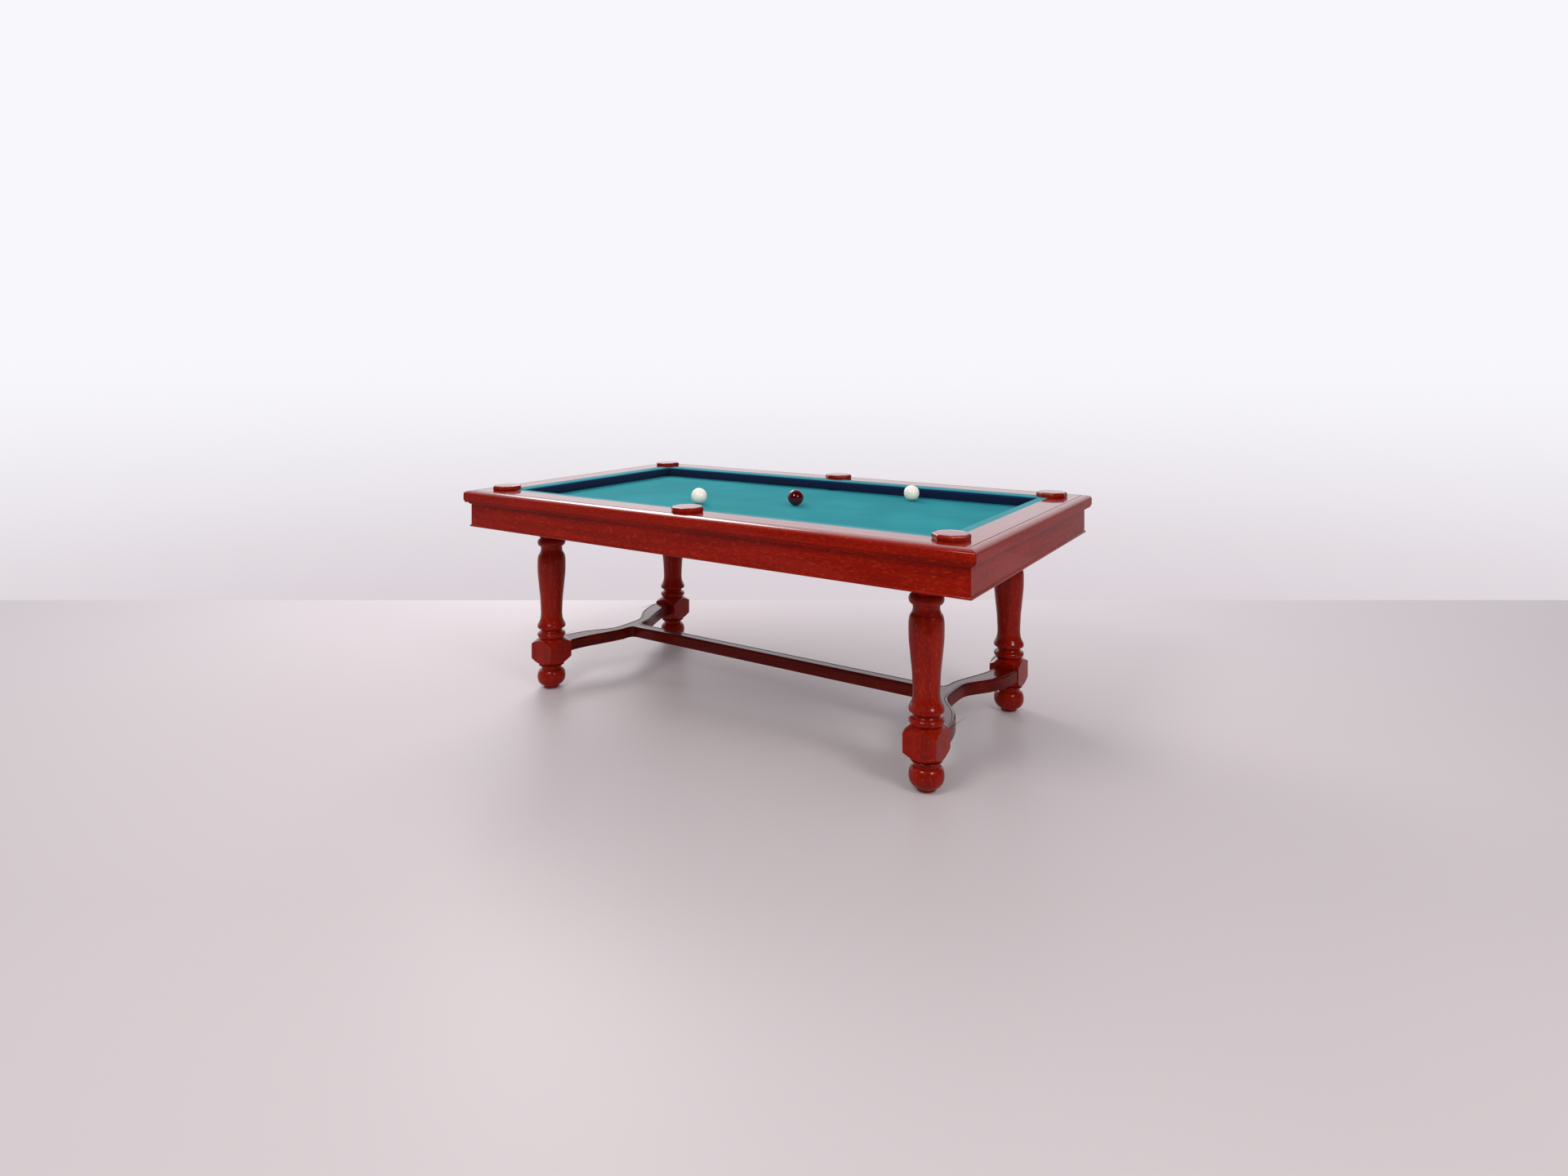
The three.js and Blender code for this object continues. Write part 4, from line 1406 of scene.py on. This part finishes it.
@dataclass
class Bed:
    """The bed cloth over the slate, with the cups that hang below the pocket holes."""

    plan: Plan
    finishes: Finishes
    hole: float = 45 * MM

    def cloth(self) -> None:
        """Makes the stretched cloth, with the pocket holes cut through it."""
        low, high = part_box("bed_cloth")
        bench = Bench.block("bed_cloth_stretched", low, high)
        bench.edges(lambda a, b: min(a.z, b.z) > high.z - TINY).bevel(0.4 * MM, 2)
        cloth = bench.close()
        pockets = self.plan.pockets
        overrun = 5 * MM
        drill = [(self.hole, low.z - overrun), (self.hole, high.z + overrun)]
        for pocket, (x, y) in pockets.items():
            centre = middle_of(f"pocket_cup_{pocket}")
            cloth = combine(cloth, turn("drill", drill, centre.xy[:], 64), "DIFFERENCE")
            if x:
                cloth = combine(cloth, self.slot(centre, x, y), "DIFFERENCE")
        dress(smooth(cloth), self.finishes.cloth, ROOT, "billiard_cloth", "bed_cloth")

    def slot(self, centre: Vector, x: int, y: int) -> Piece:
        """Makes the cutter that opens a corner's hole towards the corner of the bed."""
        reach = 200 * MM
        slot = Bench.block("slot", (0, -self.hole, -reach), (reach, self.hole, reach)).close()
        turned = Matrix.Translation(centre) @ Matrix.Rotation(math.atan2(y, x), 4, "Z")
        slot.data.transform(turned)
        return slot

    def cups(self) -> None:
        """Makes the six pressed leather cups."""
        low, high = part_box("pocket_cup_front_middle")
        outer, inner = self.plan.hole + 3 * MM, self.plan.hole
        flange = outer + 6 * MM
        outline = [
            (outer - 9 * MM, low.z),
            (outer - 4 * MM, low.z + 0.8 * MM),
            (outer - 1 * MM, low.z + 4 * MM),
            (outer, low.z + 9 * MM),
            (outer, high.z - 8 * MM),
            (outer + 0.8 * MM, high.z - 4.6 * MM),
            (outer + 3 * MM, high.z - 3.2 * MM),
            (flange - 0.6 * MM, high.z - 2.6 * MM),
            (flange, high.z - 1.5 * MM),
            (flange - 0.6 * MM, high.z),
            (inner + 1 * MM, high.z),
            (inner, high.z - 1.5 * MM),
            (inner, low.z + 11 * MM),
            (inner - 3 * MM, low.z + 6 * MM),
            (inner - 8 * MM, low.z + 4 * MM),
        ]
        cup = smooth(turn("cup", outline, sides=72), 50)
        for pocket in self.plan.pockets:
            piece = copy_of(cup, f"leather_cup_{pocket}", over_floor(f"pocket_cup_{pocket}"))
            dress(piece, self.finishes.leather, ROOT, "pocket_leather", f"pocket_cup_{pocket}")
        bpy.data.objects.remove(cup)

    def build(self) -> None:
        """Makes the cloth and the cups."""
        self.cloth()
        self.cups()


@dataclass
class Balls:
    """The three carom balls, ground round from cast blanks."""

    finishes: Finishes

    def sphere(self, radius: float) -> Piece:
        """Makes an evenly faced ball on the origin: a cube, finely divided and cast round."""
        bench = Bench.block("ball", [-radius] * 3, [radius] * 3)
        bpy.ops.mesh.select_all(action="SELECT")
        bpy.ops.mesh.subdivide(number_cuts=23)
        ball = bench.close()
        round_off = ball.modifiers.new("round", "CAST")
        round_off.cast_type = "SPHERE"
        round_off.factor = 1
        # Left on, this ignores the size and makes the ball 28 percent too large.
        round_off.use_radius_as_size = False
        round_off.size = radius
        pick(ball)
        bpy.ops.object.modifier_apply(modifier=round_off.name)
        bpy.ops.object.shade_smooth()
        return ball

    def build(self) -> None:
        """Makes the balls, each on its own body."""
        bodies = {
            "ball_white_left": ("white_ball_left", "ball_white", self.finishes.white_resin),
            "ball_white_right": ("white_ball_right", "ball_white", self.finishes.white_resin),
            "ball_red": ("red_ball", "ball_red", self.finishes.red_resin),
        }
        low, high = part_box("ball_red")
        ball = self.sphere((high.z - low.z) / 2)
        for node, (body, slot, resin) in bodies.items():
            piece = copy_of(ball, f"polished_{node}", Matrix.Translation(middle_of(node)))
            dress(piece, resin, body, slot, node)
        bpy.data.objects.remove(ball)


@dataclass
class Studio:
    """The pale room: floor, soft lamps, world and the camera."""

    floor_far: str = "#e6dbdd"
    # Floor colour near the camera, darker as painted shade.
    floor_near_shaded: str = "#cac0c0"
    wall_top: str = "#f8f7fc"
    wall_foot: str = "#d9d0d6"
    dark_room: str = "#1e1c1e"
    bright_side: tuple[float, float, float] = (-0.75, 0.66, 0)
    eye: tuple[float, float, float] = (1.9505, -2.9519, 1.3074)
    yaw: float = 0.571
    lens: float = 20.81
    shift: float = -0.1437
    fill: float = 0.7
    floor_depth: float = 4.99
    floor_start: float = 1.3
    floor_width: float = 14.0

    @property
    def facing(self) -> Vector:
        """The level direction in which the camera looks."""
        return Vector((-math.sin(self.yaw), math.cos(self.yaw), 0))

    def camera(self) -> None:
        """Sets the camera level, with the lens shifted down so that uprights stay parallel."""
        data = bpy.data.cameras.new("studio_camera")
        data.sensor_width = 36
        data.lens = self.lens
        data.shift_y = self.shift
        camera = bpy.data.objects.new("studio_camera", data)
        camera.location = self.eye
        camera.rotation_euler = (math.pi / 2, 0, self.yaw)
        bpy.context.scene.collection.objects.link(camera)
        bpy.context.scene.camera = camera

    def floor(self) -> None:
        """Lays the floor, which ends in a straight line behind the table and is painted darker towards the
        camera.
        """
        clear_selection()
        bpy.ops.mesh.primitive_plane_add(size=1)
        plane = bpy.context.active_object
        plane.name = "studio_floor"
        far, near = self.floor_depth, self.floor_start
        middle = Vector(self.eye) + self.facing * (far + near) / 2
        scale = Matrix.Diagonal((self.floor_width, far - near, 1, 1))
        turned = Matrix.Rotation(self.yaw, 4, "Z") @ scale
        plane.data.transform(Matrix.Translation((middle.x, middle.y, 0)) @ turned)
        recipe = Recipe("painted_studio_floor")
        eye = self.facing.dot(Vector(self.eye))
        # Painted shade: the floor darkens towards the camera, standing in for the light falling off there.
        depth = recipe.reach(recipe.place, self.facing)
        stretch = {"Value": depth, "From Min": eye + 2.2, "From Max": eye + far}
        away = recipe.add("ShaderNodeMapRange", stretch)
        patch = recipe.pattern([1 / 0.5] * 3, 4.0)
        tone = recipe.mix(away.outputs[0], self.floor_near_shaded, self.floor_far)
        scuffs = recipe.add("ShaderNodeMapRange", {"Value": patch, "To Min": 0.0, "To Max": 0.12})
        tone = recipe.mix(scuffs.outputs[0], tone, self.floor_near_shaded)
        material = recipe.finish(Base_Color=tone, Roughness=0.4, Specular_IOR_Level=0.25)
        plane.data.materials.append(material)

    def world(self) -> None:
        """Makes the world: a pale wall that reflections see behind the table, and a fill for the light."""
        world = bpy.data.worlds.new("studio_world")
        bpy.context.scene.world = world
        tree = Tree(world)
        direction = tree.add("ShaderNodeTexCoord").outputs["Generated"]
        height = tree.reach(direction, (0, 0, 1))
        wall = tree.mix(tree.ramp(height, -0.28, 0.02), self.wall_foot, self.wall_top)
        side = tree.reach(direction, self.bright_side)
        room = tree.mix(tree.ramp(side, 0.0, 0.85), self.dark_room, wall)
        rays = tree.add("ShaderNodeLightPath").outputs
        shown = tree.mix(rays["Is Camera Ray"], room, wall)
        seen = rays["Is Camera Ray"]
        for name in ("Is Glossy Ray", "Is Transmission Ray"):
            seen = tree.add("ShaderNodeMath", {0: seen, 1: rays[name]}, operation="MAXIMUM").outputs[0]
        backdrop = tree.add("ShaderNodeBackground", {"Color": shown, "Strength": 1.0})
        fill = tree.add("ShaderNodeBackground", {"Color": linear("#f4f4fa"), "Strength": self.fill})
        both = tree.add("ShaderNodeMixShader", {0: seen, 1: fill.outputs[0], 2: backdrop.outputs[0]})
        tree.add("ShaderNodeOutputWorld", {"Surface": both.outputs[0]})

    def lamp(self, name: str, place: Sequence[float], size: float, power: float) -> None:
        """Hangs one square soft box, turned to the table.

        Args:
            name: the lamp's name.
            place: where it hangs.
            size: width of its face.
            power: watts.
        """
        data = bpy.data.lights.new(name, "AREA")
        data.size = size
        data.energy = power
        lamp = bpy.data.objects.new(name, data)
        lamp.location = place
        lamp.rotation_euler = (Vector((0, 0, 0.6)) - Vector(place)).to_track_quat("-Z", "Y").to_euler()
        bpy.context.scene.collection.objects.link(lamp)

    def build(self) -> None:
        """Sets up the camera, the floor, the world and the lamps."""
        self.camera()
        self.floor()
        self.world()
        self.lamp("key_softbox", (-2.6, 1.6, 2.9), 1.8, 56)
        self.lamp("front_softbox", (0.2, -2.9, 3.2), 1.1, 44)
        self.lamp("right_softbox", (3.7, -1.5, 2.7), 1.1, 46)
        scene = bpy.context.scene
        scene.view_settings.view_transform = "Standard"


def main() -> None:
    """Builds the table round its frame and writes what it measures."""
    Studio().build()
    finishes = Finishes.make()
    plan = Plan()
    nodes = frame["nodes"]
    TurnedLegs(finishes).build()
    Stretchers(finishes).build()
    ApronBoards(plan, finishes).build()
    RailFrame(plan, finishes).build()
    Bed(plan, finishes).build()
    cushions = Cushions(plan, finishes)
    cushions.build()
    PocketPlugs(plan, finishes, cushions).build()
    Balls(finishes).build()
    refinish(nodes, SLATES, finishes.slate)
    refinish(nodes, ["long_beam_front", "long_beam_back"], finishes.bare_wood[Grain.ALONG_X])
    refinish(nodes, [n for n in nodes if n.startswith("cross_bearer")], finishes.bare_wood[Grain.ALONG_Y])
    refinish(nodes, [n for n in nodes if n.startswith("leg_bolt")], finishes.steel)
    LOG.info("the table stands")


if __name__ == "__main__":
    logging.basicConfig(level=logging.INFO)
    main()
